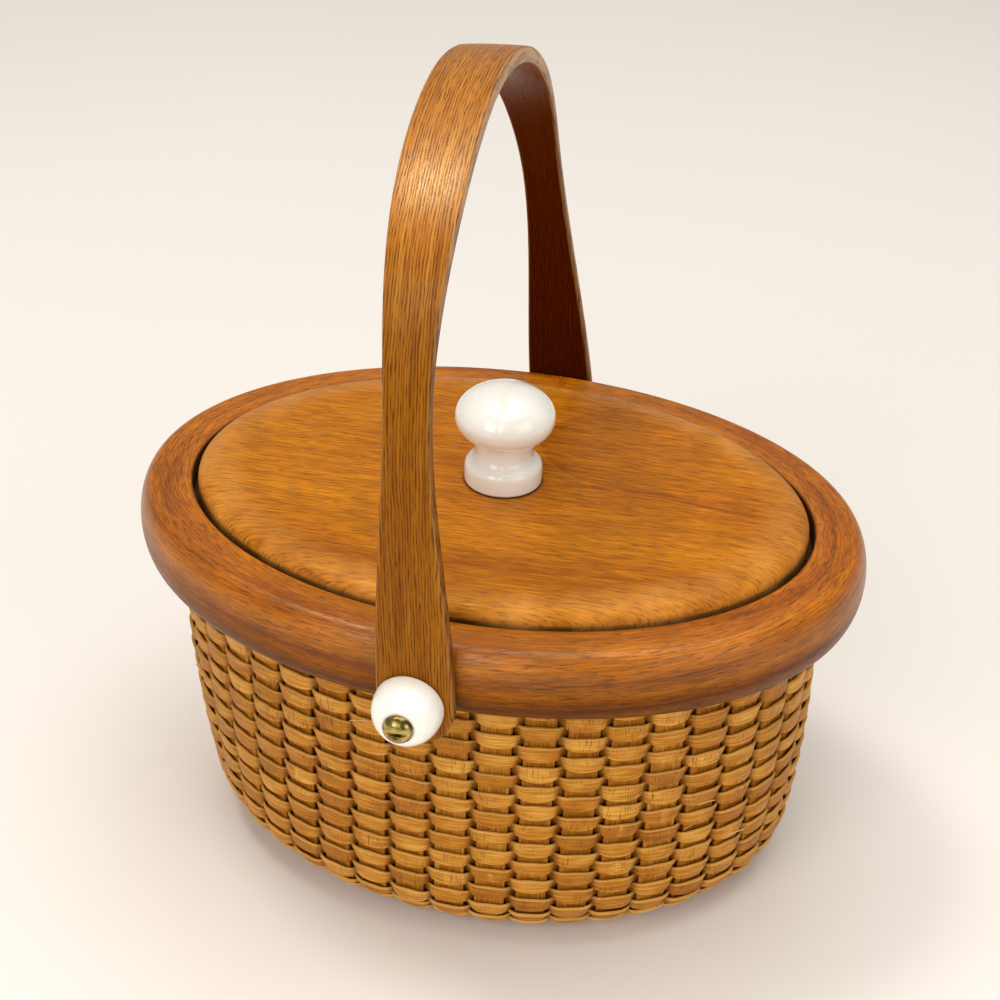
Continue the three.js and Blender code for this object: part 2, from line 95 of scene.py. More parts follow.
class Slot(Enum):
    """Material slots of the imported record."""

    RIM = "cherry_rim"
    LID = "cherry_lid"
    HANDLE = "oak"
    BASE = "pine"
    WEAVER = "cane"
    STAVE = "cane_stave"
    CERAMIC = "porcelain"
    METAL = "brass"


# Nodes and colours


def linear(code: str) -> tuple[float, float, float, float]:
    """Turns an sRGB hex colour, "#rrggbb", into linear red, green and blue with an alpha of one."""
    shares = [int(code[i : i + 2], 16) / 255 for i in (1, 3, 5)]
    return (*[s / 12.92 if s <= 0.04045 else ((s + 0.055) / 1.055) ** 2.4 for s in shares], 1.0)


def fill(tree: Tree, node: Node, inputs: Inputs) -> None:
    """Sets sockets of a node.

    Args:
        tree: Tree that holds the node.
        node: Node whose sockets are set.
        inputs: Values by the name or number of their sockets, or else in the order of the sockets. A socket
            or the first output of a node in place of a value feeds it.
    """
    for key, value in inputs.items() if isinstance(inputs, dict) else enumerate(inputs):
        feed = value.outputs[0] if isinstance(value, Node) else value
        if isinstance(feed, Socket):
            tree.links.new(feed, node.inputs[key])
        else:
            node.inputs[key].default_value = value


def add_node(
    tree: Tree,
    kind: str,
    inputs: Inputs | None = None,
    stops: Sequence[tuple[float, str]] = (),
    **settings: object,
) -> Node:
    """Adds one node with its settings, its values and the links into it.

    Args:
        tree: Tree that gets the node.
        kind: Blender's name of the node type.
        inputs: What its sockets take, as for fill.
        stops: Places and hex colours, where the node is a colour ramp.
        settings: Properties of the node.

    Returns:
        The new node.
    """
    node = tree.nodes.new(kind)
    for name, value in settings.items():
        setattr(node, name, value)
    fill(tree, node, inputs or {})
    if stops:
        ramp = node.color_ramp.elements
        while len(ramp) < len(stops):
            ramp.new(1.0)
        for element, (place, code) in zip(ramp, stops):
            element.position = place
            element.color = linear(code)
    return node


# Finishes


@dataclass(frozen=True)
class Finish:
    """A named surface; each kind of finish adds its own pattern to the shader."""

    name: str

    def material(self) -> Material:
        """Makes the material with a bare surface shader, then lets the finish draw its pattern.

        Returns:
            The finished material.
        """
        made = bpy.data.materials.new(self.name)
        made.use_nodes = True
        tree = made.node_tree
        tree.nodes.clear()
        shader = add_node(tree, "ShaderNodeBsdfPrincipled")
        add_node(tree, "ShaderNodeOutputMaterial", {"Surface": shader})
        self.draw(tree, shader)
        return made

    def draw(self, tree: Tree, shader: Node) -> None:
        """Links the finish's own pattern into the shader."""
        raise NotImplementedError

    def grain(self, tree: Tree, place: Feed, sizes: Corner, **noise: float) -> Feed:
        """Noise around one half, drawn out to grains of real sizes along the axes of the places."""
        drawn = add_node(tree, VECTOR_MATH, (place, [1 / size for size in sizes]), operation="MULTIPLY")
        return add_node(tree, "ShaderNodeTexNoise", {"Vector": drawn, "Scale": 1.0, **noise}).outputs["Fac"]

    def coated(
        self, tree: Tree, colour: Feed, coats: Sequence[tuple[Feed | float, Feed | str]]
    ) -> Feed:
        """Lays coats over a colour, one after the other.

        Args:
            tree: Tree of the material.
            colour: Colour below the coats.
            coats: For each coat, how much of each place it covers, and its colour or hex value.

        Returns:
            The colour that shows.
        """
        for share, coat in coats:
            over = linear(coat) if isinstance(coat, str) else coat
            # Several sockets of a Mix node share a name: 6 and 7 take colours, and 2 gives their mix.
            mixed = add_node(tree, "ShaderNodeMix", {0: share, 6: colour, 7: over}, data_type="RGBA")
            colour = mixed.outputs[2]
        return colour


@dataclass(frozen=True)
class BoardWood(Finish):
    """Solid wood sawn from a plank along X, or bent round from a strip, oiled and rubbed to a satin.

    The growth rings lie round a pith line below the piece, so that tops show long soft bands and rolled edges
    show curved lines. A bent piece carries its places in the straight strip: "along" it and in its "section".
    Sizes and heights are in millimetres, and a grain's size is its length and its width.
    """

    light: str
    middle: str
    dark: str
    pore: str
    pith: Corner
    tilt: Corner
    ring: float
    pore_length: float
    figure: float
    satin: float
    ring_turn: float = 0.0
    streak: Pair = (60.0, 4.0)
    streak_share: float = 0.55
    fibre: Pair = (9.0, 0.5)
    silk: float = 0.2
    curl_gap: float = 14.0
    curl_breadth: float = 40.0
    upright: float = 1.0
    pore_width: float = 0.42
    pore_depth: float = 0.7
    pore_edge: Pair = (0.54, 0.7)
    bent: bool = False
    # Painted shade in the gap over the lid's seat: how light it leaves the wood, and its offsets and heights.
    gap_shade: float = 0.18
    gap_shade_offsets: Pair = (0.1, 1.0)
    gap_shade_heights: Pair = (119.0, 120.0)
    # Painted shade on the lower part, and the heights over which it lifts; the gloss above and below, and
    # where it falls off.
    painted_shade: float = 0.0
    painted_shade_heights: Pair = (0.0, 0.0)
    gloss: float = 0.5
    low_gloss: float = 0.0
    gloss_heights: Pair = (0.0, 0.0)
    # Painted contact shadow round a foot: the foot's middle and radius, how light it leaves the wood, and its
    # breadth.
    foot: Pair | None = None
    contact_shade: float = 0.15
    contact_shade_breadth: float = 1.1
    rubbed: str = "#d8974c"
    rubbed_oval: Pair | None = None
    rubbed_border: Pair = (0.82, 0.9)
    rubbed_shares: Pair = (0.15, 0.5)
    sheen: str = "#ffcf97"

    def draw(self, tree: Tree, shader: Node) -> None:
        """Draws rings, streaks, fibres and curl, then painted shade, rubbed places and open pores over them.

        Args:
            tree: Tree of the material.
            shader: Its surface shader.
        """
        coord = add_node(tree, "ShaderNodeTexCoord").outputs["Object"]
        board = self.board(tree, coord)
        length, width = self.streak
        streak = self.grain(tree, board, (length, width, width), Detail=4.0, Roughness=0.6)
        # Fine fibres, both darker and lighter than the wood around them. The real ones are about 0.2 mm
        # wide and are drawn coarser so that they show.
        length, width = self.fibre
        fibre = self.grain(tree, board, (length, width, width / self.upright), Detail=1.0, Distortion=0.4)
        # Curl: faint bars across the grain.
        curl = self.grain(tree, board, (self.curl_gap, self.curl_breadth, self.curl_breadth), Detail=2.0)
        gains = []
        for noise, spread, share in ((curl, 0.2, self.figure), (fibre, 0.15, self.silk)):
            swing = add_node(tree, RANGE, (noise, 0.5 - spread, 0.5 + spread, 1 - share, 1 + share))
            gains.append(swing)
        # Painted shade that darkens the lower part.
        if self.painted_shade:
            gains.append(self.shaded_below(tree, coord, shader))
        # Painted shade in the gap over the lid's seat.
        if self.bent:
            gains.append(self.gap_shaded(tree))
        # Painted contact shadow round a foot.
        if self.foot:
            gains.append(self.contact_shaded(tree, coord))
        gain = gains[0]
        for factor in gains[1:]:
            gain = add_node(tree, MATH, (gain, factor), operation="MULTIPLY")
        grown = self.grown(tree, board, streak)
        toned = add_node(tree, VECTOR_MATH, {0: grown, "Scale": gain}, operation="SCALE")
        # Open pores; the real ones are about 0.1 mm wide and are drawn coarser so that they show.
        width = self.pore_width
        dashes = self.grain(tree, board, (self.pore_length, width, width / self.upright), Detail=1.5)
        closed, opened = self.pore_edge
        pores = add_node(tree, RANGE, (dashes, closed, opened))
        depth = add_node(tree, MATH, (pores, self.pore_depth), operation="MULTIPLY")
        coats = [(depth, self.pore)]
        if self.rubbed_oval:
            coats.insert(0, (self.rubbed_share(tree, coord, curl), self.rubbed))
        rough = add_node(tree, RANGE, (streak, 0.3, 0.7, self.satin - 0.05, self.satin + 0.08))
        bump = add_node(
            tree, "ShaderNodeBump", {"Strength": 0.35, "Distance": 0.12 * MM, "Height": pores}, invert=True
        )
        fill(tree, shader, {
            "Base Color": self.coated(tree, toned, coats), "Roughness": rough, "Normal": bump, "IOR": 1.5,
            "Specular Tint": linear(self.sheen),
        })

    def board(self, tree: Tree, coord: Feed) -> Feed:
        """Places in the plank, or in the strip of a bent piece.

        Args:
            tree: Tree of the material.
            coord: Places on the piece.

        Returns:
            Millimetres from the pith line, with X along the grain.
        """
        place = coord
        if self.bent:
            section = add_node(tree, MARK, attribute_name="section").outputs["Vector"]
            along = add_node(tree, MARK, attribute_name="along").outputs["Fac"]
            length = add_node(tree, "ShaderNodeCombineXYZ", {0: along})
            place = add_node(tree, VECTOR_MATH, (section, length), operation="ADD")
        turn = tuple(math.radians(angle) for angle in self.tilt)
        return add_node(
            tree, "ShaderNodeMapping",
            {"Vector": place, "Location": self.pith, "Rotation": turn, "Scale": (1 / MM, 1 / MM, 1 / MM)},
        )

    def grown(self, tree: Tree, board: Feed, streak: Feed) -> Feed:
        """Colour of the growth rings and of the soft streaks over them.

        Args:
            tree: Tree of the material.
            board: Places in the plank.
            streak: Noise of the streaks.

        Returns:
            The colour of the clean wood.
        """
        aslant = add_node(
            tree, "ShaderNodeMapping", {"Vector": board, "Rotation": (0.0, 0.0, math.radians(self.ring_turn))}
        )
        rings = add_node(
            tree, "ShaderNodeTexWave",
            {"Vector": aslant, "Scale": WAVE / self.ring, "Distortion": 3.2, "Detail": 2.0,
             "Detail Scale": 0.18, "Detail Roughness": 0.55},
            wave_type="RINGS", rings_direction="X", wave_profile="SAW",
        ).outputs["Fac"]
        bands = add_node(
            tree, RAMP, {0: rings},
            [(0.0, self.middle), (0.55, self.light), (0.88, self.middle), (1.0, self.dark)],
        )
        streaks = add_node(
            tree, RAMP, {0: streak}, [(0.25, self.dark), (0.5, self.middle), (0.78, self.light)]
        )
        return self.coated(tree, bands, [(self.streak_share, streaks)])

    def shaded_below(self, tree: Tree, coord: Feed, shader: Node) -> Feed:
        """Painted shade, which darkens the lower part of the piece, and a gloss that is duller there.

        Args:
            tree: Tree of the material.
            coord: Places on the piece.
            shader: Surface shader, whose gloss follows the height.

        Returns:
            How light the wood still is at each place.
        """
        height = add_node(tree, "ShaderNodeSeparateXYZ", {0: coord}).outputs[2]
        slopes = (
            (self.painted_shade_heights, 1 - self.painted_shade, 1.0),
            (self.gloss_heights, self.low_gloss, self.gloss),
        )
        shade, gloss = [
            add_node(tree, RANGE, (height, low * MM, high * MM, least, most))
            for (low, high), least, most in slopes
        ]
        fill(tree, shader, {"Specular IOR Level": gloss})
        return shade

    def gap_shaded(self, tree: Tree) -> Feed:
        """Painted shade, which darkens the gap over the lid's seat: all that lies within the lip and above
        the groove.

        Args:
            tree: Tree of the material.

        Returns:
            How light the wood still is at each place.
        """
        section = add_node(tree, MARK, attribute_name="section").outputs["Vector"]
        _, offset, height = add_node(tree, "ShaderNodeSeparateXYZ", {0: section}).outputs
        near, far = self.gap_shade_offsets
        low, high = self.gap_shade_heights
        lip = add_node(tree, RANGE, (offset, near * MM, far * MM, self.gap_shade, 1.0))
        seated = add_node(tree, RANGE, (height, low * MM, high * MM))
        return add_node(tree, "ShaderNodeMix", {0: seated, 2: 1.0, 3: lip}, data_type="FLOAT")

    def contact_shaded(self, tree: Tree, coord: Feed) -> Feed:
        """Painted contact shadow, which darkens the wood close round the foot that stands on it.

        Args:
            tree: Tree of the material.
            coord: Places on the piece.

        Returns:
            How light the wood still is at each place.
        """
        spot, radius = self.foot
        middle = (spot * MM, 0.0, 0.0)
        away = add_node(tree, VECTOR_MATH, (coord, middle), operation="SUBTRACT")
        level = (1.0, 1.0, 0.0)
        flat = add_node(tree, VECTOR_MATH, (away, level), operation="MULTIPLY")
        far = add_node(tree, VECTOR_MATH, {0: flat}, operation="LENGTH").outputs["Value"]
        return add_node(tree, RANGE, (far, radius * MM, (radius + self.contact_shade_breadth) * MM, self.contact_shade, 1.0))

    def rubbed_share(self, tree: Tree, coord: Feed, curl: Feed) -> Feed:
        """Where hands rub the finish pale towards the oval border, in patches.

        Args:
            tree: Tree of the material.
            coord: Places on the piece.
            curl: Noise that makes the patches.

        Returns:
            How much of each place is rubbed.
        """
        half_length, half_width = self.rubbed_oval
        start, end = self.rubbed_border
        least, most = self.rubbed_shares
        scale = (1 / (half_length * MM), 1 / (half_width * MM), 0.0)
        across = add_node(tree, VECTOR_MATH, (coord, scale), operation="MULTIPLY")
        reach = add_node(tree, VECTOR_MATH, {0: across}, operation="LENGTH").outputs["Value"]
        border = add_node(tree, RANGE, (reach, start, end))
        patches = add_node(tree, RANGE, (curl, 0.35, 0.65, least, most))
        return add_node(tree, MATH, (border, patches), operation="MULTIPLY")


@dataclass(frozen=True)
class BentWood(Finish):
    """Straight-grained oak bent to a bow, with long open pores that follow the bend and edges worn pale.

    The mesh carries its places in the straight strip: millimetres across it, along it and into it.
    """

    light: str = "#f09e2c"
    middle: str = "#d27e12"
    dark: str = "#a45806"
    pore: str = "#562402"
    inside: str = "#5c1a01"
    worn: str = "#f0b060"
    sheen: str = "#ffe9b8"
    streak: Pair = (90.0, 2.6)
    pore_length: float = 6.0
    pore_width: float = 0.42
    pore_depth: float = 0.9
    line_gap: float = 0.9
    line_draw: float = 0.13
    wear: float = 0.6
    satin: float = 0.3
    # Heights over which the painted shade lifts towards the top, how light it leaves the colour at each, and
    # the shine at each.
    heights: Pair = (224.0, 257.0)
    shades: Pair = (0.46, 0.78)
    shines: Pair = (0.14, 1.0)
    inner_shine: float = 0.06

    def draw(self, tree: Tree, shader: Node) -> None:
        """Draws streaks and pores along the strip, its dark inner face, its pale edges and painted shade down
        its arms.

        Args:
            tree: Tree of the material.
            shader: Its surface shader.
        """
        strip = add_node(tree, MARK, attribute_name="strip").outputs["Vector"]
        inner = add_node(tree, MARK, attribute_name="inner").outputs["Fac"]
        edge = add_node(tree, MARK, attribute_name="edge").outputs["Fac"]
        length, width = self.streak
        streak = self.grain(tree, strip, (width, length, width), Detail=4.0, Roughness=0.62)
        toned = add_node(
            tree, RAMP, {0: streak}, [(0.25, self.dark), (0.5, self.middle), (0.75, self.light)]
        )
        rubbed = add_node(tree, MATH, (edge, self.wear), operation="MULTIPLY")
        sided = self.coated(tree, toned, [(inner, self.inside), (rubbed, self.worn)])
        # The colour is painted darker towards the ends of the arms, as shade, and they shine less there.
        coord = add_node(tree, "ShaderNodeTexCoord").outputs["Object"]
        height = add_node(tree, "ShaderNodeSeparateXYZ", {0: coord}).outputs[2]
        shade, polish = [
            add_node(
                tree, RANGE, (height, self.heights[0] * MM, self.heights[1] * MM, least, most),
                interpolation_type=slope,
            )
            for (least, most), slope in ((self.shades, "SMOOTHSTEP"), (self.shines, "LINEAR"))
        ]
        dimmed = add_node(tree, VECTOR_MATH, {0: sided, "Scale": shade}, operation="SCALE")
        # The inner face was left dry.
        dry = add_node(tree, RANGE, (inner, 0.0, 1.0, 1.0, self.inner_shine))
        shine = add_node(tree, MATH, (polish, dry), operation="MULTIPLY")
        pores = self.pores(tree, strip)
        depth = add_node(tree, MATH, (pores, self.pore_depth), operation="MULTIPLY")
        rough = add_node(tree, RANGE, (streak, 0.3, 0.7, self.satin - 0.06, self.satin + 0.1))
        bump = add_node(
            tree, "ShaderNodeBump", {"Strength": 0.5, "Distance": 0.15 * MM, "Height": pores}, invert=True
        )
        fill(tree, shader, {
            "Base Color": self.coated(tree, dimmed, [(depth, self.pore)]), "Roughness": rough, "Normal": bump,
            "Specular IOR Level": shine, "IOR": 1.5, "Specular Tint": linear(self.sheen),
        })

    def pores(self, tree: Tree, strip: Feed) -> Feed:
        """Oak pores: wavy rows of lines, each line broken into dashes.

        The real ones are about 0.2 mm wide and are drawn coarser so that they show.

        Args:
            tree: Tree of the material.
            strip: Places in the straight strip.

        Returns:
            How open each place is.
        """
        drawn = add_node(tree, VECTOR_MATH, (strip, (1.0, self.line_draw, 1.0)), operation="MULTIPLY")
        rows = add_node(
            tree, "ShaderNodeTexWave",
            {"Vector": drawn, "Scale": WAVE / self.line_gap, "Distortion": 7.0, "Detail": 3.0,
             "Detail Scale": 1.1, "Detail Roughness": 0.6},
            wave_type="BANDS", bands_direction="X",
        ).outputs["Fac"]
        lines = add_node(tree, RANGE, (rows, 0.35, 0.85))
        width = self.pore_width
        dashes = self.grain(tree, strip, (width, self.pore_length, width), Detail=2.0, Distortion=0.3)
        broken = add_node(tree, RANGE, (dashes, 0.38, 0.6, 0.12))
        return add_node(tree, MATH, (lines, broken), operation="MULTIPLY")


@dataclass(frozen=True)
class SplitCane(Finish):
    """Split cane, woven damp and gone to honey with age: fine fibres along the strip, bending cracks and dark
    specks.

    The swept mesh carries its own attributes: millimetres along and across the strip, a tone for each
    stretch of it, and how far it stands out of the weave. The third size of a grain is a step of tone.
    """

    pale: str = "#dfa748"
    middle: str = "#b47217"
    dark: str = "#874a05"
    crack: str = "#4c2305"
    # Colour of the painted shade where the strip dives between its neighbours.
    hollow: str = "#512002"
    # Pale colour of the strip's edges: partly wear, partly painted highlight.
    worn: str = "#e0ab58"
    sheen: str = "#ffcf97"
    fibre: Corner = (12.0, 0.45, 1 / 3)
    fibre_share: float = 0.26
    blotch: Corner = (7.0, 4.0, 1 / 5)
    blotch_share: float = 0.12
    split: Corner = (0.35, 6.0, 1 / 2)
    patch: float = 20.0
    speck: float = 0.6
    mark_depth: float = 0.75
    half: float = 2.8
    # Shares of the half width over which the pale edge comes in, and how pale it gets.
    worn_and_highlit_edge: Pair = (0.86, 0.95)
    wear: float = 0.7
    # How far the painted shade darkens the strip, and the crest at which it has faded out.
    hollow_shade: float = 0.66
    hollow_shade_crest: float = 0.6
    cracks: float = 1.0
    matt: float = 0.5

    def draw(self, tree: Tree, shader: Node) -> None:
        """Draws the strip's tone and fibres, then cracks and specks, pale edges that are partly painted
        highlight, and painted shade in its hollows.

        Args:
            tree: Tree of the material.
            shader: Its surface shader.
        """
        along, across, tone, crest = [
            add_node(tree, MARK, attribute_name=name).outputs["Fac"]
            for name in ("along", "across", "tone", "crest")
        ]
        strip = add_node(tree, "ShaderNodeCombineXYZ", (along, across, tone))
        # The real fibres are about 0.2 mm wide and are drawn coarser so that they show.
        fibre = self.grain(tree, strip, self.fibre, Detail=2.0)
        blotch = self.grain(tree, strip, self.blotch, Detail=2.0)
        level = tone
        for noise, share in ((fibre, self.fibre_share), (blotch, self.blotch_share)):
            sway = add_node(tree, RANGE, (noise, 0.3, 0.7, -share, share))
            level = add_node(tree, MATH, (level, sway), operation="ADD")
        toned = add_node(tree, RAMP, {0: level}, [(0.05, self.dark), (0.5, self.middle), (0.95, self.pale)])
        marks = self.marks(tree, strip)
        depth = add_node(tree, MATH, (marks, self.mark_depth), operation="MULTIPLY")
        # The cut edges of the strip are painted pale: partly wear, partly painted highlight along the edges.
        off = add_node(tree, MATH, {0: across}, operation="ABSOLUTE")
        start, end = self.worn_and_highlit_edge
        rubbed = add_node(tree, RANGE, (off, self.half * start, self.half * end, 0.0, self.wear))
        # Where a strip dives between its neighbours, painted shade darkens it.
        hollow_shade = add_node(tree, RANGE, (crest, 0.0, self.hollow_shade_crest, self.hollow_shade, 0.0))
        colour = self.coated(tree, toned, [(depth, self.crack), (rubbed, self.worn), (hollow_shade, self.hollow)])
        height = add_node(tree, MATH, (fibre, marks), operation="SUBTRACT")
        bump = add_node(tree, "ShaderNodeBump", {"Strength": 0.4, "Distance": 0.12 * MM, "Height": height})
        fill(tree, shader, {
            "Base Color": colour, "Normal": bump, "Roughness": self.matt, "IOR": 1.48,
            "Specular Tint": linear(self.sheen),
        })

    def marks(self, tree: Tree, strip: Feed) -> Feed:
        """Bending cracks across the strip, in patches, and dark specks.

        Args:
            tree: Tree of the material.
            strip: Places along and across the strip, and its tone.

        Returns:
            How marked each place is.
        """
        line = self.grain(tree, strip, self.split, Detail=1.0)
        lines = add_node(tree, RANGE, (line, 0.57, 0.68))
        patch = self.grain(tree, strip, (self.patch, self.patch, self.patch), Detail=0.0)
        where = add_node(tree, RANGE, (patch, 0.44, 0.58, 0.0, self.cracks))
        cracked = add_node(tree, MATH, (lines, where), operation="MULTIPLY")
        dots = self.grain(tree, strip, (self.speck, self.speck, self.speck), Detail=1.0)
        specks = add_node(tree, RANGE, (dots, 0.68, 0.78))
        return add_node(tree, MATH, (cracked, specks), operation="MAXIMUM")


@dataclass(frozen=True)
class Porcelain(Finish):
    """White glazed porcelain, slip-cast and fired: a glossy glaze with faint clouding and rare pits."""

    glaze: str = "#fbfaf3"
    cloud: str = "#f5f2e6"
    pit: str = "#8d8172"
    cloud_size: float = 9.0
    pit_gap: float = 13.0
    gloss: float = 0.16

    def draw(self, tree: Tree, shader: Node) -> None:
        """Draws the glaze's clouding and its few pits of about 0.5 mm.

        Args:
            tree: Tree of the material.
            shader: Its surface shader.
        """
        coord = add_node(tree, "ShaderNodeTexCoord").outputs["Object"]
        size = self.cloud_size * MM
        haze = self.grain(tree, coord, (size, size, size), Detail=2.0)
        clouded = add_node(tree, RAMP, {0: haze}, [(0.35, self.cloud), (0.65, self.glaze)])
        spots = add_node(tree, "ShaderNodeTexVoronoi", {"Vector": coord, "Scale": 1 / (self.pit_gap * MM)})
        pits = add_node(tree, RANGE, (spots.outputs["Distance"], 0.02, 0.045, 0.7, 0.0))
        fill(tree, shader, {
            "Base Color": self.coated(tree, clouded, [(pits, self.pit)]), "Roughness": self.gloss,
            "IOR": 1.52, "Coat Weight": 0.4, "Coat Roughness": 0.06,
        })


@dataclass(frozen=True)
class AgedBrass(Finish):
    """Turned brass gone olive with age: bright where it is rubbed, brown in its hollows."""

    bright: str = "#bcab6d"
    dull: str = "#7f6c37"
    tarnish: str = "#3d300f"
    patch: float = 2.8

    def draw(self, tree: Tree, shader: Node) -> None:
        """Draws tarnish over the metal and lets it dull the shine.

        Args:
            tree: Tree of the material.
            shader: Its surface shader.
        """
        coord = add_node(tree, "ShaderNodeTexCoord").outputs["Object"]
        size = self.patch * MM
        film = self.grain(tree, coord, (size, size, size), Detail=2.0, Roughness=0.5)
        colour = add_node(
            tree, RAMP, {0: film}, [(0.3, self.tarnish), (0.42, self.dull), (0.6, self.bright)]
        )
        rough = add_node(tree, RANGE, (film, 0.35, 0.7, 0.34, 0.16))
        bump = add_node(tree, "ShaderNodeBump", {"Strength": 0.12, "Distance": 0.1 * MM, "Height": film})
        fill(tree, shader, {
            "Base Color": colour, "Roughness": rough, "Normal": bump, "Metallic": 1.0
        })


@dataclass(frozen=True)
class StudioPaper(Finish):
    """Pale matt paper under the piece, a little uneven in tone."""

    paper: str = "#f3eee8"
    shade: str = "#f0ebe5"
    drift: float = 500.0

    def draw(self, tree: Tree, shader: Node) -> None:
        """Draws a slow drift of tone.

        Args:
            tree: Tree of the material.
            shader: Its surface shader.
        """
        coord = add_node(tree, "ShaderNodeTexCoord").outputs["Object"]
        size = self.drift * MM
        tone = self.grain(tree, coord, (size, size, size), Detail=1.0)
        colour = add_node(tree, RAMP, {0: tone}, [(0.3, self.shade), (0.7, self.paper)])
        fill(tree, shader, {"Base Color": colour, "Roughness": 0.9})


# Cherry, ripened red and oiled, bent round to the rim: fine grain along the bend, a warm sheen on the nose,
# a duller side below it painted dark as shade, and painted shade in the gap over the lid's seat.
RIM_CHERRY = BoardWood(
    "cherry_oiled_rim", light="#d37e0c", middle="#a85804", dark="#743402", pore="#3f1400",
    pith=(0.0, 46.0, 40.0), tilt=(0.0, 3.0, 2.0), ring=8.0, pore_length=4.2, pore_width=0.32, figure=0.12,
    fibre=(9.0, 0.42), silk=0.24, bent=True, satin=0.31, sheen="#ffe9c6", painted_shade=0.67,
    painted_shade_heights=(108.0, 127.0), gloss=0.68, low_gloss=0.11, gloss_heights=(113.0, 121.0),
)
# Cherry of a browner board on the lid: fine straight fibres, broad soft bands and a rubbed border.
# The lid's edge is painted dark as shade where it drops into the gap, and a contact shadow is painted round
# the knob's foot.
LID_CHERRY = BoardWood(
    "cherry_oiled_lid", light="#cf820e", middle="#b46604", dark="#8a4500", pore="#522000",
    pith=(0.0, -20.0, 60.0), tilt=(0.0, 4.0, -3.0), ring=12.0, ring_turn=-16.0, pore_length=5.0, figure=0.08,
    satin=0.33, sheen="#ffbe7a", rubbed_oval=(102.0, 74.0), painted_shade=0.96, painted_shade_heights=(126.7, 127.5),
    gloss_heights=(126.7, 127.5), pore_width=0.45, pore_depth=0.5, silk=0.27, upright=0.2, foot=(0.9, 12.5),
)
# Pine, sawn and left pale, on the base: plain straight bands without polish.
BASE_PINE = BoardWood(
    "pine_sawn", light="#d3ac74", middle="#c09459", dark="#a3743c", pore="#8a5d2d",
    pith=(0.0, 10.0, 90.0), tilt=(0.0, 2.0, 0.0), ring=7.0, pore_length=12.0, figure=0.05, satin=0.55,
)
# Oak, steamed and bent, on the handle: golden, with rows of dark pores, and painted shade that leaves it
# bright on top and brown on its arms.
HANDLE_OAK = BentWood("oak_bent")
# Cane, split and woven damp: honey strips with pale edges, partly painted highlight, and painted shade
# where they dive; each stretch in a tone of its own.
WEAVER_CANE = SplitCane("cane_split_woven")
# Cane, split wide for the staves: darker and flatter than the strand over it, and not cracked.
STAVE_CANE = SplitCane(
    "cane_split_stave", pale="#cf9640", middle="#a56716", dark="#7e4806", half=9.0, cracks=0.0, matt=0.55
)
# Cane fibres that have come loose: thin, dry and pale.
FRAYED_CANE = SplitCane(
    "cane_frayed", pale="#e6c48a", middle="#d8b070", dark="#c89a58", cracks=0.0, matt=0.6
)
# Porcelain, white and glazed, on the knobs: clear soft highlights.
WHITE_PORCELAIN = Porcelain("porcelain_glazed")
# Brass, turned and long handled: olive and brown with a few bright places.
OLD_BRASS = AgedBrass("brass_aged")
# Paper, matt and pale, under it all.
PAPER = StudioPaper("paper_matt")


# Meshes


def bend(start: Sequence[float], pull: Sequence[float], end: Sequence[float], steps: int) -> Profile:
    """Points of a curve from start to end that is drawn towards one pull point.

    Args:
        start: First point.
        pull: Point that draws the curve.
        end: Last point.
        steps: Straight runs in the curve.

    Returns:
        The curve's points, both ends included.
    """
    near, middle, far = np.array(start), np.array(pull), np.array(end)
    shares = np.linspace(0, 1, steps + 1)[:, None]
    curve = (1 - shares) ** 2 * near + 2 * shares * (1 - shares) * middle + shares**2 * far
    return [(float(x), float(z)) for x, z in curve]


def eased(corners: Sequence[Corner], steps: int = 4, most: float = 0.48) -> Profile:
    """Rounds the corners of a closed outline.

    Args:
        corners: Corner points, each with the radius of its rounding.
        steps: Straight runs in each rounded corner.
        most: Largest share of a side that one rounded corner takes up.

    Returns:
        The points of the eased outline.
    """
    outline: Profile = []
    for i, (x, z, radius) in enumerate(corners):
        if radius <= 0:
            outline.append((x, z))
            continue
        place = np.array((x, z))
        before = np.array(corners[i - 1][:2]) - place
        after = np.array(corners[(i + 1) % len(corners)][:2]) - place
        reach = min(radius, most * np.linalg.norm(before), most * np.linalg.norm(after))
        start = place + before / np.linalg.norm(before) * reach
        end = place + after / np.linalg.norm(after) * reach
        outline += bend(start, place, end, steps)
    return outline


def run_lengths(points: Array) -> Array:
    """Length of a line of points up to each of them."""
    return np.concatenate([[0.0], np.cumsum(np.linalg.norm(np.diff(points, axis=0), axis=1))])


def chain(count: int, first: int = 0, closed: bool = False) -> list[tuple[int, int]]:
    """Edges that join a row of points from a first number on, and its last to its first if it is closed."""
    edges = [(first + i, first + i + 1) for i in range(count - 1)]
    return [*edges, (first + count - 1, first)] if closed else edges


def carry(mesh: Mesh, marks: dict[str, Array]) -> None:
    """Puts values on the points of a mesh.

    Args:
        mesh: Mesh that carries the values.
        marks: Values for each point, single numbers or vectors, by attribute name.
    """
    for key, values in marks.items():
        vector = values.ndim == 2
        made = mesh.attributes.new(key, "FLOAT_VECTOR" if vector else "FLOAT", "POINT")
        flat = np.ascontiguousarray(values, np.float32).ravel()
        made.data.foreach_set("vector" if vector else "value", flat)


def guide_mesh(
    name: str, points: Array, lines: Sequence[tuple[int, int]], marks: dict[str, Array]
) -> Mesh:
    """Makes a guide of points and edges, with values on its points.

    Args:
        name: Name of the mesh.
        points: Points in millimetres.
        lines: Pairs of point numbers.
        marks: Values for each point, single numbers or vectors, by attribute name.

    Returns:
        The guide mesh, in metres.
    """
    mesh = bpy.data.meshes.new(name)
    mesh.from_pydata((points * MM).tolist(), list(lines), [])
    carry(mesh, marks)
    return mesh


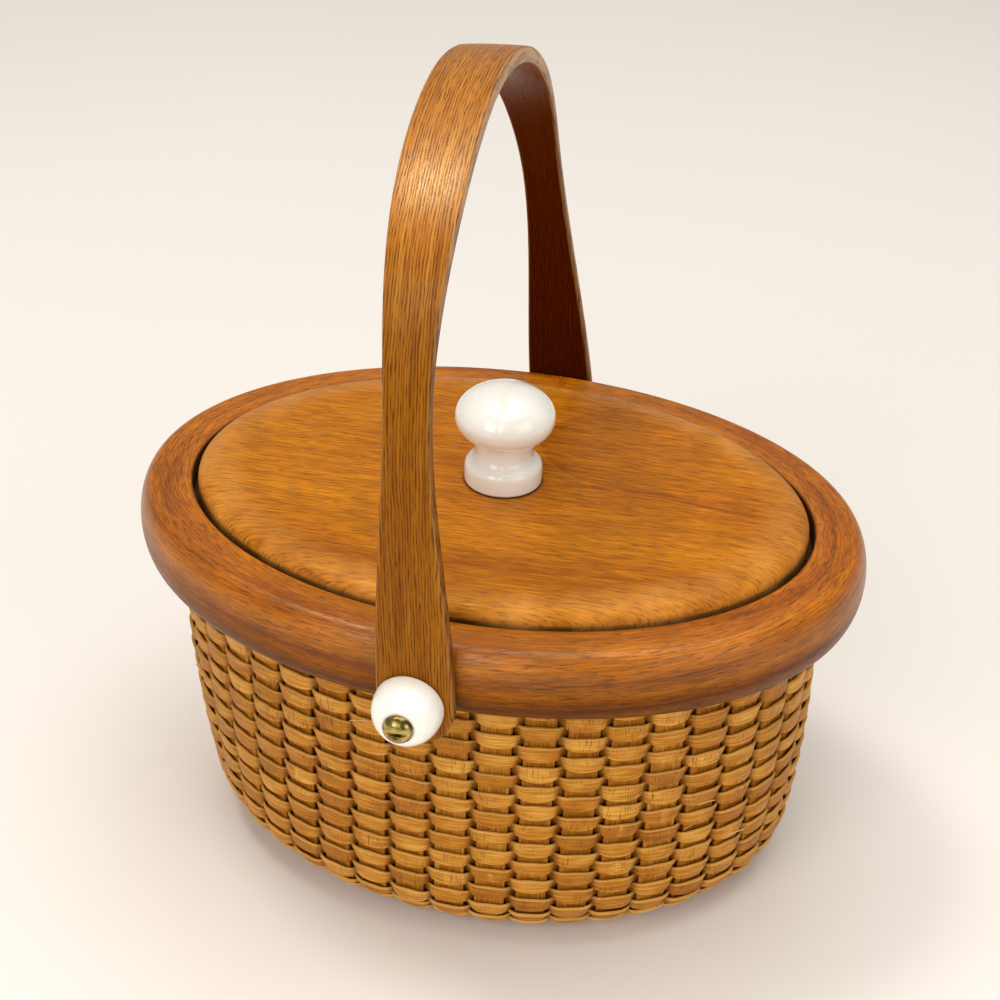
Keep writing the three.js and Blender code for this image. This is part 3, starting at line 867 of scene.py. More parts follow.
def finish_mesh(mesh: Mesh, crease: float = CREASE) -> None:
    """Turns the faces outwards, shades them smooth and keeps sharp creases sharp.

    Args:
        mesh: Closed mesh.
        crease: Angle in degrees above which edges are sharp.
    """
    work = bmesh.new()
    work.from_mesh(mesh)
    if work.calc_volume(signed=True) < 0:
        bmesh.ops.reverse_faces(work, faces=work.faces)
    for face in work.faces:
        face.smooth = True
    for edge in work.edges:
        edge.smooth = len(edge.link_faces) != 2 or edge.calc_face_angle(0.0) < math.radians(crease)
    work.to_mesh(mesh)
    work.free()


def new_object(name: str, data: bpy.types.ID) -> Piece:
    """Puts a mesh, a light or a camera into the scene as an object at the origin.

    Args:
        name: Name of the object.
        data: What it shows.

    Returns:
        The new object.
    """
    made = bpy.data.objects.new(name, data)
    bpy.context.scene.collection.objects.link(made)
    return made


def skin(
    name: str,
    rings: Array,
    ends: Sequence[Sequence[float]] = (),
    crease: float = CREASE,
    hollow: bool = False,
) -> Piece:
    """Closed skin over a row of equal rings.

    Args:
        name: Name of the piece.
        rings: Points in millimetres: ring, place on the ring, and x, y, z.
        ends: Points that close the first and the last ring, or else the middles of these rings.
        crease: Angle in degrees above which edges are sharp.
        hollow: Whether the last ring joins the first one, so that no end is closed.

    Returns:
        The new object.
    """
    count, size, _ = rings.shape
    points = rings.reshape(-1, 3)
    faces: list[tuple[int, ...]] = []
    for i in range(count if hollow else count - 1):
        near, far = i * size, (i + 1) % count * size
        for k in range(size):
            step = (k + 1) % size
            faces.append((near + k, near + step, far + step, far + k))
    if not hollow:
        points = np.concatenate([points, ends or (rings[0].mean(0), rings[-1].mean(0))])
        last = (count - 1) * size
        for k in range(size):
            step = (k + 1) % size
            faces.append((count * size, step, k))
            faces.append((count * size + 1, last + k, last + step))
    mesh = bpy.data.meshes.new(name)
    mesh.from_pydata((points * MM).tolist(), [], faces)
    finish_mesh(mesh, crease)
    return new_object(name, mesh)


def turned(name: str, profile: Profile, steps: int = 64, hollow: bool = False) -> Piece:
    """Piece turned about Z from a profile.

    Args:
        name: Name of the piece.
        profile: Radius and height of each place, in millimetres.
        steps: Sides of the turned form.
        hollow: Whether the profile goes once round a bored piece, or else closes on the axis.

    Returns:
        The new object.
    """
    turns = np.linspace(0, FULL, steps, endpoint=False)
    rings = np.array([
        np.stack([r * np.cos(turns), r * np.sin(turns), np.full(steps, z)], axis=1) for r, z in profile
    ])
    return skin(name, rings, [(0.0, 0.0, profile[0][1]), (0.0, 0.0, profile[-1][1])], hollow=hollow)


def slot_cutter(length: float, width: float, depth: float, level: float) -> Piece:
    """Bar along X that cuts a screwdriver slot at a level on Z.

    Args:
        length: Length of the bar.
        width: Width of the slot.
        depth: Depth of the slot to each side of the level.
        level: Height of the surface that is cut.

    Returns:
        The cutter.
    """
    mesh = bpy.data.meshes.new("slot")
    work = bmesh.new()
    bmesh.ops.create_cube(work, size=1.0)
    work.to_mesh(mesh)
    work.free()
    size = Matrix.Diagonal((length * MM, width * MM, 2 * depth * MM, 1))
    mesh.transform(Matrix.Translation((0, 0, level * MM)) @ size)
    return new_object("slot", mesh)


def cut_away(piece: Piece, cutter: Piece, crease: float = CREASE) -> None:
    """Takes one form out of another and throws the cutter away.

    Args:
        piece: Piece that is cut.
        cutter: Form that is taken out of it.
        crease: Angle in degrees above which edges are sharp.
    """
    modifier = piece.modifiers.new("cut", "BOOLEAN")
    modifier.operation = "DIFFERENCE"
    modifier.solver = "EXACT"
    modifier.object = cutter
    cut = bpy.data.meshes.new_from_object(piece.evaluated_get(bpy.context.evaluated_depsgraph_get()))
    piece.modifiers.remove(modifier)
    old, piece.data = piece.data, cut
    bpy.data.meshes.remove(old)
    bpy.data.objects.remove(cutter)
    finish_mesh(piece.data, crease)


def seat(piece: Piece, material: Material, body: Body, nodes: Sequence[str] = ()) -> None:
    """Dresses a finished piece and lets it ride on its body in place of CAD nodes.

    Args:
        piece: Finished piece.
        material: Its material.
        body: Body that carries it.
        nodes: CAD nodes that it stands for.
    """
    piece.data.materials.clear()
    piece.data.materials.append(material)
    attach(piece, body.value)
    if nodes:
        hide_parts(*nodes)
    LOG.info("%s: %d faces on %s", piece.name, len(piece.data.polygons), body.value)


# Geometry Nodes


@dataclass
class Growth:
    """A Geometry Nodes tree with named inputs, and the guide that it grows on."""

    name: str
    sizes: dict[str, float] = field(default_factory=dict)

    def start(self) -> tuple[Tree, Node]:
        """Makes the empty tree with its named inputs.

        Returns:
            The tree and its input node.
        """
        tree = bpy.data.node_groups.new(self.name, "GeometryNodeTree")
        tree.interface.new_socket("Guide", in_out="INPUT", socket_type="NodeSocketGeometry")
        for name, value in self.sizes.items():
            kind = "NodeSocketInt" if isinstance(value, int) else "NodeSocketFloat"
            tree.interface.new_socket(name, in_out="INPUT", socket_type=kind)
        tree.interface.new_socket("Form", in_out="INPUT", socket_type="NodeSocketObject")
        tree.interface.new_socket("Finish", in_out="INPUT", socket_type="NodeSocketMaterial")
        tree.interface.new_socket("Piece", in_out="OUTPUT", socket_type="NodeSocketGeometry")
        return tree, add_node(tree, "NodeGroupInput")

    def faced_line(self, tree: Tree, given: Node) -> tuple[Feed, Feed]:
        """Turns the guide into a curve that shows the side its points carry as "facing".

        Args:
            tree: Tree that gets the nodes.
            given: Its input node.

        Returns:
            The curve, and the facing of its points.
        """
        line = add_node(tree, "GeometryNodeMeshToCurve", {"Mesh": given.outputs["Guide"]})
        facing = add_node(tree, POINT_MARK, {"Name": "facing"}, data_type="FLOAT_VECTOR")
        faced = add_node(tree, "GeometryNodeSetCurveNormal", {"Curve": line, "Normal": facing}, mode="FREE")
        return faced, facing

    def set_out(self, tree: Tree, given: Node, inputs: Inputs) -> Feed:
        """Sets a form on each point of the guide, turned by the point's "turn".

        Args:
            tree: Tree that gets the nodes.
            given: Its input node.
            inputs: The form as Instance, and what else the points say of it.

        Returns:
            The forms in their places.
        """
        turn = add_node(tree, POINT_MARK, {"Name": "turn"}, data_type="FLOAT_VECTOR")
        rotation = add_node(tree, "FunctionNodeEulerToRotation", {0: turn})
        return add_node(
            tree, "GeometryNodeInstanceOnPoints",
            {"Points": given.outputs["Guide"], "Rotation": rotation, **inputs},
        )

    def end(self, tree: Tree, given: Node, grown: Feed) -> Tree:
        """Closes the tree: smooth shading, realized instances and the finish.

        Args:
            tree: Tree to close.
            given: Its input node.
            grown: Socket of the grown geometry.

        Returns:
            The closed tree.
        """
        smooth = add_node(tree, "GeometryNodeSetShadeSmooth", {"Geometry": grown})
        real = add_node(tree, "GeometryNodeRealizeInstances", {"Geometry": smooth})
        finish = given.outputs["Finish"]
        dressed = add_node(tree, "GeometryNodeSetMaterial", {"Geometry": real, "Material": finish})
        add_node(tree, "NodeGroupOutput", {0: dressed})
        return tree

    def build(self) -> Tree:
        """Builds the tree; each kind of growth has its own."""
        raise NotImplementedError

    def grow(self, name: str, guide: Mesh, finish: Material, form: Piece | None = None) -> Piece:
        """Grows a piece on a guide and turns it into a plain mesh.

        Args:
            name: Name of the piece.
            guide: Mesh of points and edges with the attributes that the tree reads.
            finish: Material that the tree sets.
            form: Object that the tree repeats or sweeps, which is thrown away afterwards.

        Returns:
            The grown piece as a plain mesh object.
        """
        tree = self.build()
        carrier = new_object(name + "_guide", guide)
        modifier = carrier.modifiers.new("grow", "NODES")
        modifier.node_group = tree
        values = {**self.sizes, "Finish": finish, "Form": form}
        for item in tree.interface.items_tree:
            if item.in_out == "INPUT" and item.name in values:
                modifier[item.identifier] = values[item.name]
        mesh = bpy.data.meshes.new_from_object(carrier.evaluated_get(bpy.context.evaluated_depsgraph_get()))
        mesh.name = name
        carrier.modifiers.remove(modifier)
        bpy.data.objects.remove(carrier)
        bpy.data.meshes.remove(guide)
        bpy.data.node_groups.remove(tree)
        if form is not None:
            bpy.data.objects.remove(form)
        return new_object(name, mesh)


@dataclass
class StripGrowth(Growth):
    """Sweeps a flat strip with eased edges along every line of the guide.

    The guide's points carry "facing", the side that the strip shows, and "swell", its size there.
    """

    def build(self) -> Tree:
        """Builds the tree of the swept strip.

        Returns:
            The tree, with inputs Width, Thickness, Ease and Ease Steps.
        """
        tree, given = self.start()
        faced, _ = self.faced_line(tree, given)
        block = add_node(
            tree, "GeometryNodeCurvePrimitiveQuadrilateral",
            {"Width": given.outputs["Thickness"], "Height": given.outputs["Width"]},
        )
        rounded = add_node(
            tree, "GeometryNodeFilletCurve",
            {"Curve": block, "Radius": given.outputs["Ease"], "Count": given.outputs["Ease Steps"]},
            mode="POLY",
        )
        place = add_node(tree, "GeometryNodeInputPosition")
        side = add_node(tree, "ShaderNodeSeparateXYZ", {0: place}).outputs[1]
        across = add_node(tree, MATH, (side, 1 / MM), operation="MULTIPLY")
        section = add_node(
            tree, "GeometryNodeStoreNamedAttribute", {"Geometry": rounded, "Name": "across", "Value": across}
        )
        swell = add_node(tree, POINT_MARK, {"Name": "swell"}, data_type="FLOAT")
        swept = add_node(
            tree, "GeometryNodeCurveToMesh",
            {"Curve": faced, "Profile Curve": section, "Scale": swell, "Fill Caps": True},
        )
        return self.end(tree, given, swept)


@dataclass
class MouldingGrowth(Growth):
    """Sweeps the outline of a form, drawn in XY, round a closed guide line that carries "facing".

    Each place of the outline moves out by its "ends", as far as the guide's "spread" says.
    """

    def build(self) -> Tree:
        """Builds the tree of the swept moulding.

        Returns:
            The tree, with the section as its Form input.
        """
        tree, given = self.start()
        faced, facing = self.faced_line(tree, given)
        form = add_node(tree, "GeometryNodeObjectInfo", {"Object": given.outputs["Form"]}).outputs["Geometry"]
        section = add_node(tree, "GeometryNodeMeshToCurve", {"Mesh": form})
        swept = add_node(tree, "GeometryNodeCurveToMesh", {"Curve": faced, "Profile Curve": section})
        ends, spread = [
            add_node(tree, POINT_MARK, {"Name": name}, data_type="FLOAT")
            for name in ("ends", "spread")
        ]
        reach = add_node(tree, MATH, (ends, spread), operation="MULTIPLY")
        push = add_node(tree, VECTOR_MATH, {0: facing, "Scale": reach}, operation="SCALE")
        broad = add_node(tree, "GeometryNodeSetPosition", {"Geometry": swept, "Offset": push})
        return self.end(tree, given, broad)


@dataclass
class FittingGrowth(Growth):
    """Sets one copy of a form on each point of the guide, turned by the point's "turn"."""

    def build(self) -> Tree:
        """Builds the tree of the repeated fitting.

        Returns:
            The tree, with the fitting as its Form input.
        """
        tree, given = self.start()
        form = add_node(
            tree, "GeometryNodeObjectInfo", {"Object": given.outputs["Form"], "As Instance": True}
        ).outputs["Geometry"]
        return self.end(tree, given, self.set_out(tree, given, {"Instance": form}))


@dataclass
class FibreGrowth(Growth):
    """Sets a thin curved sliver on each point of the guide, turned by "turn" and as long as "reach"."""

    def build(self) -> Tree:
        """Builds the tree of the loose fibres.

        Returns:
            The tree, with inputs Thickness and Lift.
        """
        tree, given = self.start()
        tip = add_node(tree, "ShaderNodeCombineXYZ", {0: 1.0, 2: given.outputs["Lift"]})
        arc = add_node(
            tree, "GeometryNodeCurveQuadraticBezier",
            {"Resolution": 5, "Start": (0.0, 0.0, 0.0), "Middle": (0.55, 0.0, 0.0), "End": tip},
        )
        section = add_node(
            tree, "GeometryNodeCurvePrimitiveCircle", {"Resolution": 4, "Radius": given.outputs["Thickness"]}
        )
        sliver = add_node(
            tree, "GeometryNodeCurveToMesh", {"Curve": arc, "Profile Curve": section, "Fill Caps": True}
        )
        reach = add_node(tree, POINT_MARK, {"Name": "reach"}, data_type="FLOAT")
        return self.end(tree, given, self.set_out(tree, given, {"Instance": sliver, "Scale": reach}))


# The basket's own shape


@dataclass(frozen=True)
class Oval:
    """The oval of the mouth, which every oval of the basket is offset from."""

    half_length: float = 104.0
    half_width: float = 75.0
    steps: int = 192
    # Sizes of the rings that fill a board's underside and its top, as shares of its border.
    under_rings: tuple[float, ...] = (0.3, 0.6, 0.85)
    top_rings: tuple[float, ...] = (0.9, 0.75, 0.55, 0.35, 0.15)

    def outward(self, angles: Array) -> Array:
        """Unit normals of the oval.

        Args:
            angles: Places on the oval, in radians.

        Returns:
            One x, y, z normal for each place.
        """
        x, y = self.half_width * np.cos(angles), self.half_length * np.sin(angles)
        normal = np.stack([x, y, np.zeros_like(angles)], axis=-1)
        return normal / np.linalg.norm(normal, axis=-1, keepdims=True)

    def at(
        self, angles: Array, offset: Array | float, z: Array | float, end: Array | float = 0.0
    ) -> Array:
        """Points at an offset from the oval.

        Args:
            angles: Places on the oval, in radians.
            offset: Distance out from the oval.
            z: Height.
            end: Further distance at the two ends of the oval, which fades towards its sides.

        Returns:
            One x, y, z point for each place.
        """
        x, y = self.half_length * np.cos(angles), self.half_width * np.sin(angles)
        base = np.stack([x, y, np.zeros_like(angles)], axis=-1)
        reach = np.broadcast_to(offset, angles.shape) + end * np.cos(angles) ** 2
        points = base + self.outward(angles) * reach[..., None]
        points[..., 2] = z
        return points

    def round(self) -> Array:
        """Angles of one even turn round the oval."""
        return np.linspace(0, FULL, self.steps, endpoint=False)

    def board(self, name: str, edge: Profile, crown: float = 0.0, end: float = 0.0) -> Piece:
        """Oval board whose edge follows a profile, with a top that crowns to its middle.

        Args:
            name: Name of the piece.
            edge: Offset and height of each place of the edge, from below to above.
            crown: Rise of the top from its border to its middle.
            end: Further offset at the two ends of the oval.

        Returns:
            The new object.
        """
        angles = self.round()
        border = [self.at(angles, offset, z, end) for offset, z in edge]
        under = [border[0] * (share, share, 1.0) for share in self.under_rings]
        top = []
        for share in self.top_rings:
            ring = border[-1] * (share, share, 1.0)
            ring[:, 2] += crown * (1 - share**2)
            top.append(ring)
        middles = [(0.0, 0.0, edge[0][1]), (0.0, 0.0, edge[-1][1] + crown)]
        return skin(name, np.array([*under, *border, *top]), middles)


MOUTH = Oval()


@dataclass
class Rim:
    """Oval ring of cherry: bull-nosed outside, with a ledge for the lid and a groove for the staves."""

    top: float = 127.0
    height: float = 24.0
    breadth: float = 16.0
    nose: float = 5.6
    ease: float = 1.0
    ledge_breadth: float = 5.0
    ledge_depth: float = 6.5
    groove_middle: float = 1.7
    groove_half: float = 1.4
    groove_depth: float = 9.0
    seat_ease: float = 0.5
    groove_ease: float = 0.4
    inner_ease: float = 1.2
    ledge_ease: float = 0.8
    end_lip: float = 0.85
    end_nose: float = 0.8
    nose_steps: int = 26
    crease: float = 50.0

    @property
    def bottom(self) -> float:
        """Height of the rim's underside."""
        return self.top - self.height

    @property
    def ledge(self) -> float:
        """Height of the ledge that carries the lid."""
        return self.top - self.ledge_depth

    @property
    def groove(self) -> tuple[float, float, float]:
        """Inner and outer offset of the groove, and the height that it reaches."""
        middle, half = self.groove_middle, self.groove_half
        return middle - half, middle + half, self.bottom + self.groove_depth

    def section(self) -> Profile:
        """Outline of the ring's section.

        Returns:
            Offset and height of each place, once round.
        """
        start, middle = self.breadth - self.nose, (self.top + self.bottom) / 2
        nose = [
            (start + self.nose * math.cos(turn), middle + self.height / 2 * math.sin(turn), 0.0)
            for turn in np.linspace(QUARTER, -QUARTER, self.nose_steps)
        ]
        near, far, roof = self.groove
        return eased([
            (0.0, self.ledge, self.seat_ease), (0.0, self.top, self.ease), *nose,
            (far, self.bottom, self.groove_ease), (far, roof, 0.0),
            (near, roof, 0.0), (near, self.bottom, self.groove_ease),
            (-self.ledge_breadth, self.bottom, self.inner_ease),
            (-self.ledge_breadth, self.ledge, self.ledge_ease),
        ])

    def ends(self, section: Profile) -> Array:
        """How much broader the ring is at the two ends of the oval.

        Args:
            section: Outline of the ring's section.

        Returns:
            Further offset of each place of the section, in millimetres.
        """
        offset, z = np.array(section).T
        start = self.breadth - self.nose
        near, far, roof = self.groove
        upper = np.interp(offset, [self.ease, start], [-self.end_lip, self.end_nose])
        lower = np.interp(
            offset, [-self.ledge_breadth, near, far, start], [-self.end_lip, 0.0, 0.0, self.end_nose]
        )
        return np.where(z > (roof + self.ledge) / 2, upper, lower)

    def make(self) -> None:
        """Sweeps the section round the mouth and dresses it."""
        section = self.section()
        outline = np.array([(offset, -z, 0.0) for offset, z in section])
        places = np.array([(0.0, offset, z) for offset, z in section]) * MM
        carried = {"ends": self.ends(section) * MM, "section": places}
        loop = chain(len(outline), closed=True)
        form = new_object("rim_section", guide_mesh("rim_section", outline, loop, carried))
        # The strip is bent round from the back, where its two ends are scarfed together.
        angles = MOUTH.round() + QUARTER
        path = MOUTH.at(angles, 0.0, 0.0)
        carried = {
            "facing": MOUTH.outward(angles), "spread": np.cos(angles) ** 2, "along": run_lengths(path) * MM
        }
        guide = guide_mesh("rim_path", path, chain(len(path), closed=True), carried)
        material = RIM_CHERRY.material()
        piece = MouldingGrowth("rim_moulding").grow("rim_ring", guide, material, form)
        finish_mesh(piece.data, self.crease)
        seat(piece, material, Body.BASKET, ["rim"])


@dataclass
class Wall:
    """Section of the woven wall: a side that leans in more and more, a corner arc and a level foot."""

    top_offset: float = 1.7
    rim_bottom: float = 103.0
    lean: float = math.radians(2.1)
    corner_radius: float = 17.4
    foot: float = 4.5
    tenon: float = 5.5
    tongue: float = 8.6
    settle: float = 3.4
    end_draw: float = 6.5
    slant: float = math.radians(-2.2)
    side_runs: int = 240
    corner_runs: int = 60
    # Steps round and down the wall that its directions are measured over, in radians and millimetres.
    round_step: float = 0.01
    down_step: float = 0.5

    def __post_init__(self) -> None:
        """Lays out the line of the section once, with the lengths along it."""
        corner_z = self.foot + self.corner_radius
        start_z = corner_z - self.corner_radius * math.sin(self.lean)
        draw = math.tan(self.lean) * (self.rim_bottom - start_z) / 2
        base_edge = self.top_offset - draw - self.corner_radius * math.cos(self.lean)
        share = np.linspace(0, 1, self.side_runs)
        side_z = self.rim_bottom + (start_z - self.rim_bottom) * share
        turn = np.linspace(self.lean, QUARTER, self.corner_runs)[1:]
        corner = base_edge + self.corner_radius * np.cos(turn)
        self.line = np.concatenate([
            [(self.top_offset, self.rim_bottom + self.tongue)],
            np.stack([self.top_offset - draw * share**2, side_z], 1),
            np.stack([corner, corner_z - self.corner_radius * np.sin(turn)], 1),
            [(base_edge - self.tenon, self.foot)],
        ])
        self.lengths = run_lengths(self.line) - self.tongue
        self.corner_end = float(self.lengths[-2])

    def at(self, angles: Array, distance: Array) -> Array:
        """Places on the wall, which settles to one side of its rim, draws in at its ends and slants round.

        Args:
            angles: Places round the rim, in radians.
            distance: Length along the wall from the rim's underside.

        Returns:
            One x, y, z point for each place.
        """
        offset, z = [np.interp(distance, self.lengths, column) for column in self.line.T]
        share = np.clip((self.rim_bottom - z) / (self.rim_bottom - self.foot), 0, None)
        points = MOUTH.at(angles + self.slant * share, offset, z, -self.end_draw * share**3)
        return points + share[:, None] * (self.settle, 0.0, 0.0)

    def facing(self, angles: Array, distance: Array) -> tuple[Array, Array]:
        """Directions of the wall's surface.

        Args:
            angles: Places round the rim, in radians.
            distance: Length along the wall from the rim's underside.

        Returns:
            The outward normal of each place, and its way down the wall.
        """
        turn, drop = self.round_step, self.down_step
        around = self.at(angles + turn, distance) - self.at(angles - turn, distance)
        down = self.at(angles, distance + drop) - self.at(angles, distance - drop)
        normal = np.cross(down, around)
        return normal / np.linalg.norm(normal, axis=1)[:, None], down / np.linalg.norm(down, axis=1)[:, None]


@dataclass
class WovenWall:
    """Upright cane staves and one strand of cane, wound down over one stave and under the next."""

    wall: Wall = field(default_factory=Wall)
    seed: int = 43
    staves: int = 43
    stave_thickness: float = 1.6
    stave_spacing: float = 3.6
    stave_ease: float = 0.35
    # Where the even points of a stave's side stop and those of its corner start, before the corner's end.
    side_stop: float = 28.0
    side_points: int = 12
    corner_start: float = 25.0
    corner_points: int = 10
    # Length by which the pattern of one stave is moved on from that of the stave before it.
    stave_shift: float = 500.0
    # Middle and spread of the staves' tones, and least and spread of how far they stand out.
    stave_tone: Pair = (0.45, 0.3)
    stave_crest: Pair = (0.5, 0.2)
    strand_width: float = 5.6
    strand_thickness: float = 1.1
    strand_ease: float = 0.26
    strand_crease: float = 35.0
    row_pitch: float = 3.9
    corner_pitch: float = 2.7
    # Length over which the rows close up towards the corner, and how far before the last row that starts.
    closing_length: float = 20.0
    closing_start: float = 26.0
    first_row: float = -1.6
    corner_stop: float = math.radians(76)
    wave: float = 1.85
    flatness: float = 1.8
    rise_power: float = 1.3
    crest_tilt: float = math.radians(3)
    dive_tilt: float = math.radians(11)
    dive_swell: float = 0.86
    stations: int = 10
    # How far the strand drifts from its even lay: down the wall, out of it, round it, in tilt and in size.
    drift_down: float = 0.22
    drift_out: float = 0.14
    drift_round: float = 0.004
    drift_tilt: float = math.radians(5)
    drift_swell: float = 0.05
    # Middle tone of the strand, how far it drifts from crest to crest, and how far over many crossings.
    tone: float = 0.5
    drift_tone: float = 0.17
    slow_drift_tone: float = 0.13
    slow_drift: int = 20
    # How far a drift must go before a stretch of the strand is pale, and the gain from there on.
    pale_start: float = 0.75
    pale_gain: float = 1.2
    loose_fibres: int = 40
    # Where the strand has loose fibres: from so many staves after its first turn up to a share of its length.
    fibre_first: int = 3
    fibre_last: float = 0.8
    fibre_edges: tuple[float, ...] = (-0.92, -0.5, 0.3, 0.92)
    fibre_sink: float = 0.05
    fibre_yaw: float = 0.3
    fibre_reach: Pair = (2.5, 6.5)
    fibre_tone: Pair = (0.3, 0.9)
    fibre_shift: float = 9.0
    # Half thickness and lift of a loose fibre, as shares of its length.
    fibre_thickness: float = 0.03
    fibre_lift: float = 0.16

    def __post_init__(self) -> None:
        """Sets the staves evenly round the wall, the first at the back."""
        self.random = np.random.default_rng(self.seed)
        turns = np.linspace(QUARTER, QUARTER + FULL, self.staves * 60 + 1)
        lengths = run_lengths(MOUTH.at(turns, self.wall.top_offset, 0.0))
        self.angles = np.interp(np.linspace(0, lengths[-1], self.staves + 1), lengths, turns)

    def stave_angle(self, crossing: Array) -> Array:
        """Angles on the oval, in radians, for places counted in staves from the first."""
        turn, rest = np.divmod(crossing, self.staves)
        return np.interp(rest, np.arange(self.staves + 1), self.angles) + turn * FULL

    def half_width(self, stave: int, distance: Array) -> Array:
        """Half the width of a stave.

        Args:
            stave: Number of the stave.
            distance: Lengths along the wall, down the stave.

        Returns:
            The half widths in millimetres.
        """
        before = self.angles[stave - 1] if stave > 0 else self.angles[self.staves - 1] - FULL
        after = self.angles[stave + 1]
        near, far = [self.wall.at(np.full_like(distance, angle), distance) for angle in (before, after)]
        return (np.linalg.norm(far - near, axis=1) / 2 - self.stave_spacing) / 2

    def stave_guide(self, widest: float) -> Mesh:
        """Guide lines of the staves, from the rim's groove to the base's groove.

        Args:
            widest: Width at which a stave's swell is one.

        Returns:
            The guide mesh.
        """
        wall = self.wall
        end = wall.corner_end
        distance = np.concatenate([
            [-wall.tongue], np.linspace(0, end - self.side_stop, self.side_points),
            np.linspace(end - self.corner_start, end, self.corner_points), [end + wall.tenon],
        ])
        count = len(distance)
        middle, spread = self.stave_tone
        least, more = self.stave_crest
        points, lines = [], []
        marks: dict[str, list] = {"facing": [], "swell": [], "along": [], "tone": [], "crest": []}
        for stave in range(self.staves):
            angles = np.full_like(distance, self.angles[stave])
            points.append(wall.at(angles, distance))
            lines += chain(count, stave * count)
            marks["facing"].append(wall.facing(angles, distance)[0])
            marks["swell"].append(2 * self.half_width(stave, distance) / widest)
            marks["along"].append(distance + self.stave_shift * stave)
            marks["tone"].append(np.full_like(distance, middle + spread * (self.random.random() - 0.5)))
            marks["crest"].append(least + more * self.random.random(count))
        joined = {key: np.concatenate(values) for key, values in marks.items()}
        return guide_mesh("stave_lines", np.concatenate(points), lines, joined)

    def drift(self, count: int, every: int) -> Array:
        """Slow random drift between -1 and 1 over a count of places, with a free value every so many."""
        knots = self.random.uniform(-1, 1, count // every + 3)
        return np.interp(np.arange(count) / every, np.arange(len(knots)), knots)

    def rows(self) -> tuple[Array, Array]:
        """Lays out the rows, which close up towards the corner.

        Returns:
            Turns round the basket, and the length down the wall that each reaches.
        """
        wall = self.wall
        last = wall.corner_end - wall.corner_radius * (QUARTER - self.corner_stop)
        fine = np.linspace(self.first_row, last, 400)
        ease = np.clip((fine - (last - self.closing_start)) / self.closing_length, 0, 1)
        pitch = self.row_pitch + (self.corner_pitch - self.row_pitch) * ease * ease * (3 - 2 * ease)
        return np.concatenate([[0.0], np.cumsum(np.diff(fine) / pitch[1:])]), fine

    def strand_path(self) -> dict[str, Array]:
        """Lays the strand down the wall.

        Returns:
            Its points and the values on them, by name.
        """
        wall = self.wall
        turns, fine = self.rows()
        crossings = int(turns[-1] * self.staves)
        crossings -= crossings % 2
        every = self.stations
        count = crossings * every + 1
        place = np.linspace(1.0, 1.0 + crossings, count)
        beat = -np.cos(np.pi * place)
        over = np.tanh(self.flatness * beat) / math.tanh(self.flatness)
        rise = np.abs(beat) ** self.rise_power
        distance = np.interp((place - 1.0) / self.staves, turns, fine)
        distance = distance + self.drift_down * self.drift(count, 2 * every)
        depth = self.wave * over + self.drift_out * self.drift(count, every) * rise
        angles = self.stave_angle(place) + self.drift_round * self.drift(count, 3 * every)
        normal, down = wall.facing(angles, distance)
        points = wall.at(angles, distance) + normal * depth[:, None]
        tilt = self.dive_tilt + (self.crest_tilt - self.dive_tilt) * rise
        tilt = tilt + self.drift_tilt * self.drift(count, every)
        facing = normal * np.cos(tilt)[:, None] + down * np.sin(tilt)[:, None]
        # The side that shows stands square to the strand's own way.
        along = np.gradient(points, axis=0)
        along /= np.linalg.norm(along, axis=1, keepdims=True)
        facing -= along * np.sum(along * facing, axis=1, keepdims=True)
        facing /= np.linalg.norm(facing, axis=1, keepdims=True)
        tone = self.tone + self.drift_tone * self.drift(count, 2 * every)
        tone = tone + self.slow_drift_tone * self.drift(count, self.slow_drift * every)
        pale = np.clip(self.drift(count, every) - self.pale_start, 0, 1) * self.pale_gain
        swell = self.dive_swell + (1 - self.dive_swell) * rise + self.drift_swell * self.drift(count, every)
        return {
            "points": points, "facing": facing, "swell": swell, "along": run_lengths(points),
            "tone": tone + pale, "crest": np.clip(over, 0, 1),
        }

    def fibre_guide(self, strand: dict[str, Array]) -> Mesh:
        """Points for the loose fibres, on the edges of the strand where it stands out.

        Args:
            strand: Path of the strand.

        Returns:
            The guide mesh, with a turn and a reach on each point.
        """
        path, count = strand["points"], self.loose_fibres
        first, last = self.stations * (self.staves + self.fibre_first), int(self.fibre_last * len(path))
        crests = np.arange(first, last, 2 * self.stations)
        picked = self.random.choice(crests, count, replace=False)
        picked = picked + self.random.integers(-3, 2, count)
        points, turns, reaches = [], [], []
        for i in picked:
            facing = Vector(strand["facing"][i])
            along = Vector(path[i + 1] - path[i - 1]).normalized()
            if self.random.random() < 0.5:
                along.negate()
            side = facing.cross(along)
            edge = self.strand_width / 2 * self.random.choice(self.fibre_edges)
            height = self.strand_thickness / 2 - self.fibre_sink
            points.append(Vector(path[i]) + side * edge + facing * height)
            yaw = Matrix.Rotation(self.random.uniform(-self.fibre_yaw, self.fibre_yaw), 3, facing)
            frame = Matrix((yaw @ along, yaw @ side, facing)).transposed()
            turns.append(tuple(frame.to_euler("XYZ")))
            reaches.append(self.random.uniform(*self.fibre_reach))
        return guide_mesh("fibre_points", np.array(points, float), [], {
            "turn": np.array(turns), "reach": np.array(reaches) * MM,
            "tone": self.random.uniform(*self.fibre_tone, count), "crest": np.ones(count),
            "along": np.arange(count) * self.fibre_shift,
        })

    def strip(self, name: str, width: float, thickness: float, ease: float) -> StripGrowth:
        """Growth of a cane strip with its sizes where its swell is one, and one step in each eased edge."""
        return StripGrowth(
            name, {"Width": width * MM, "Thickness": thickness * MM, "Ease": ease * MM, "Ease Steps": 1}
        )

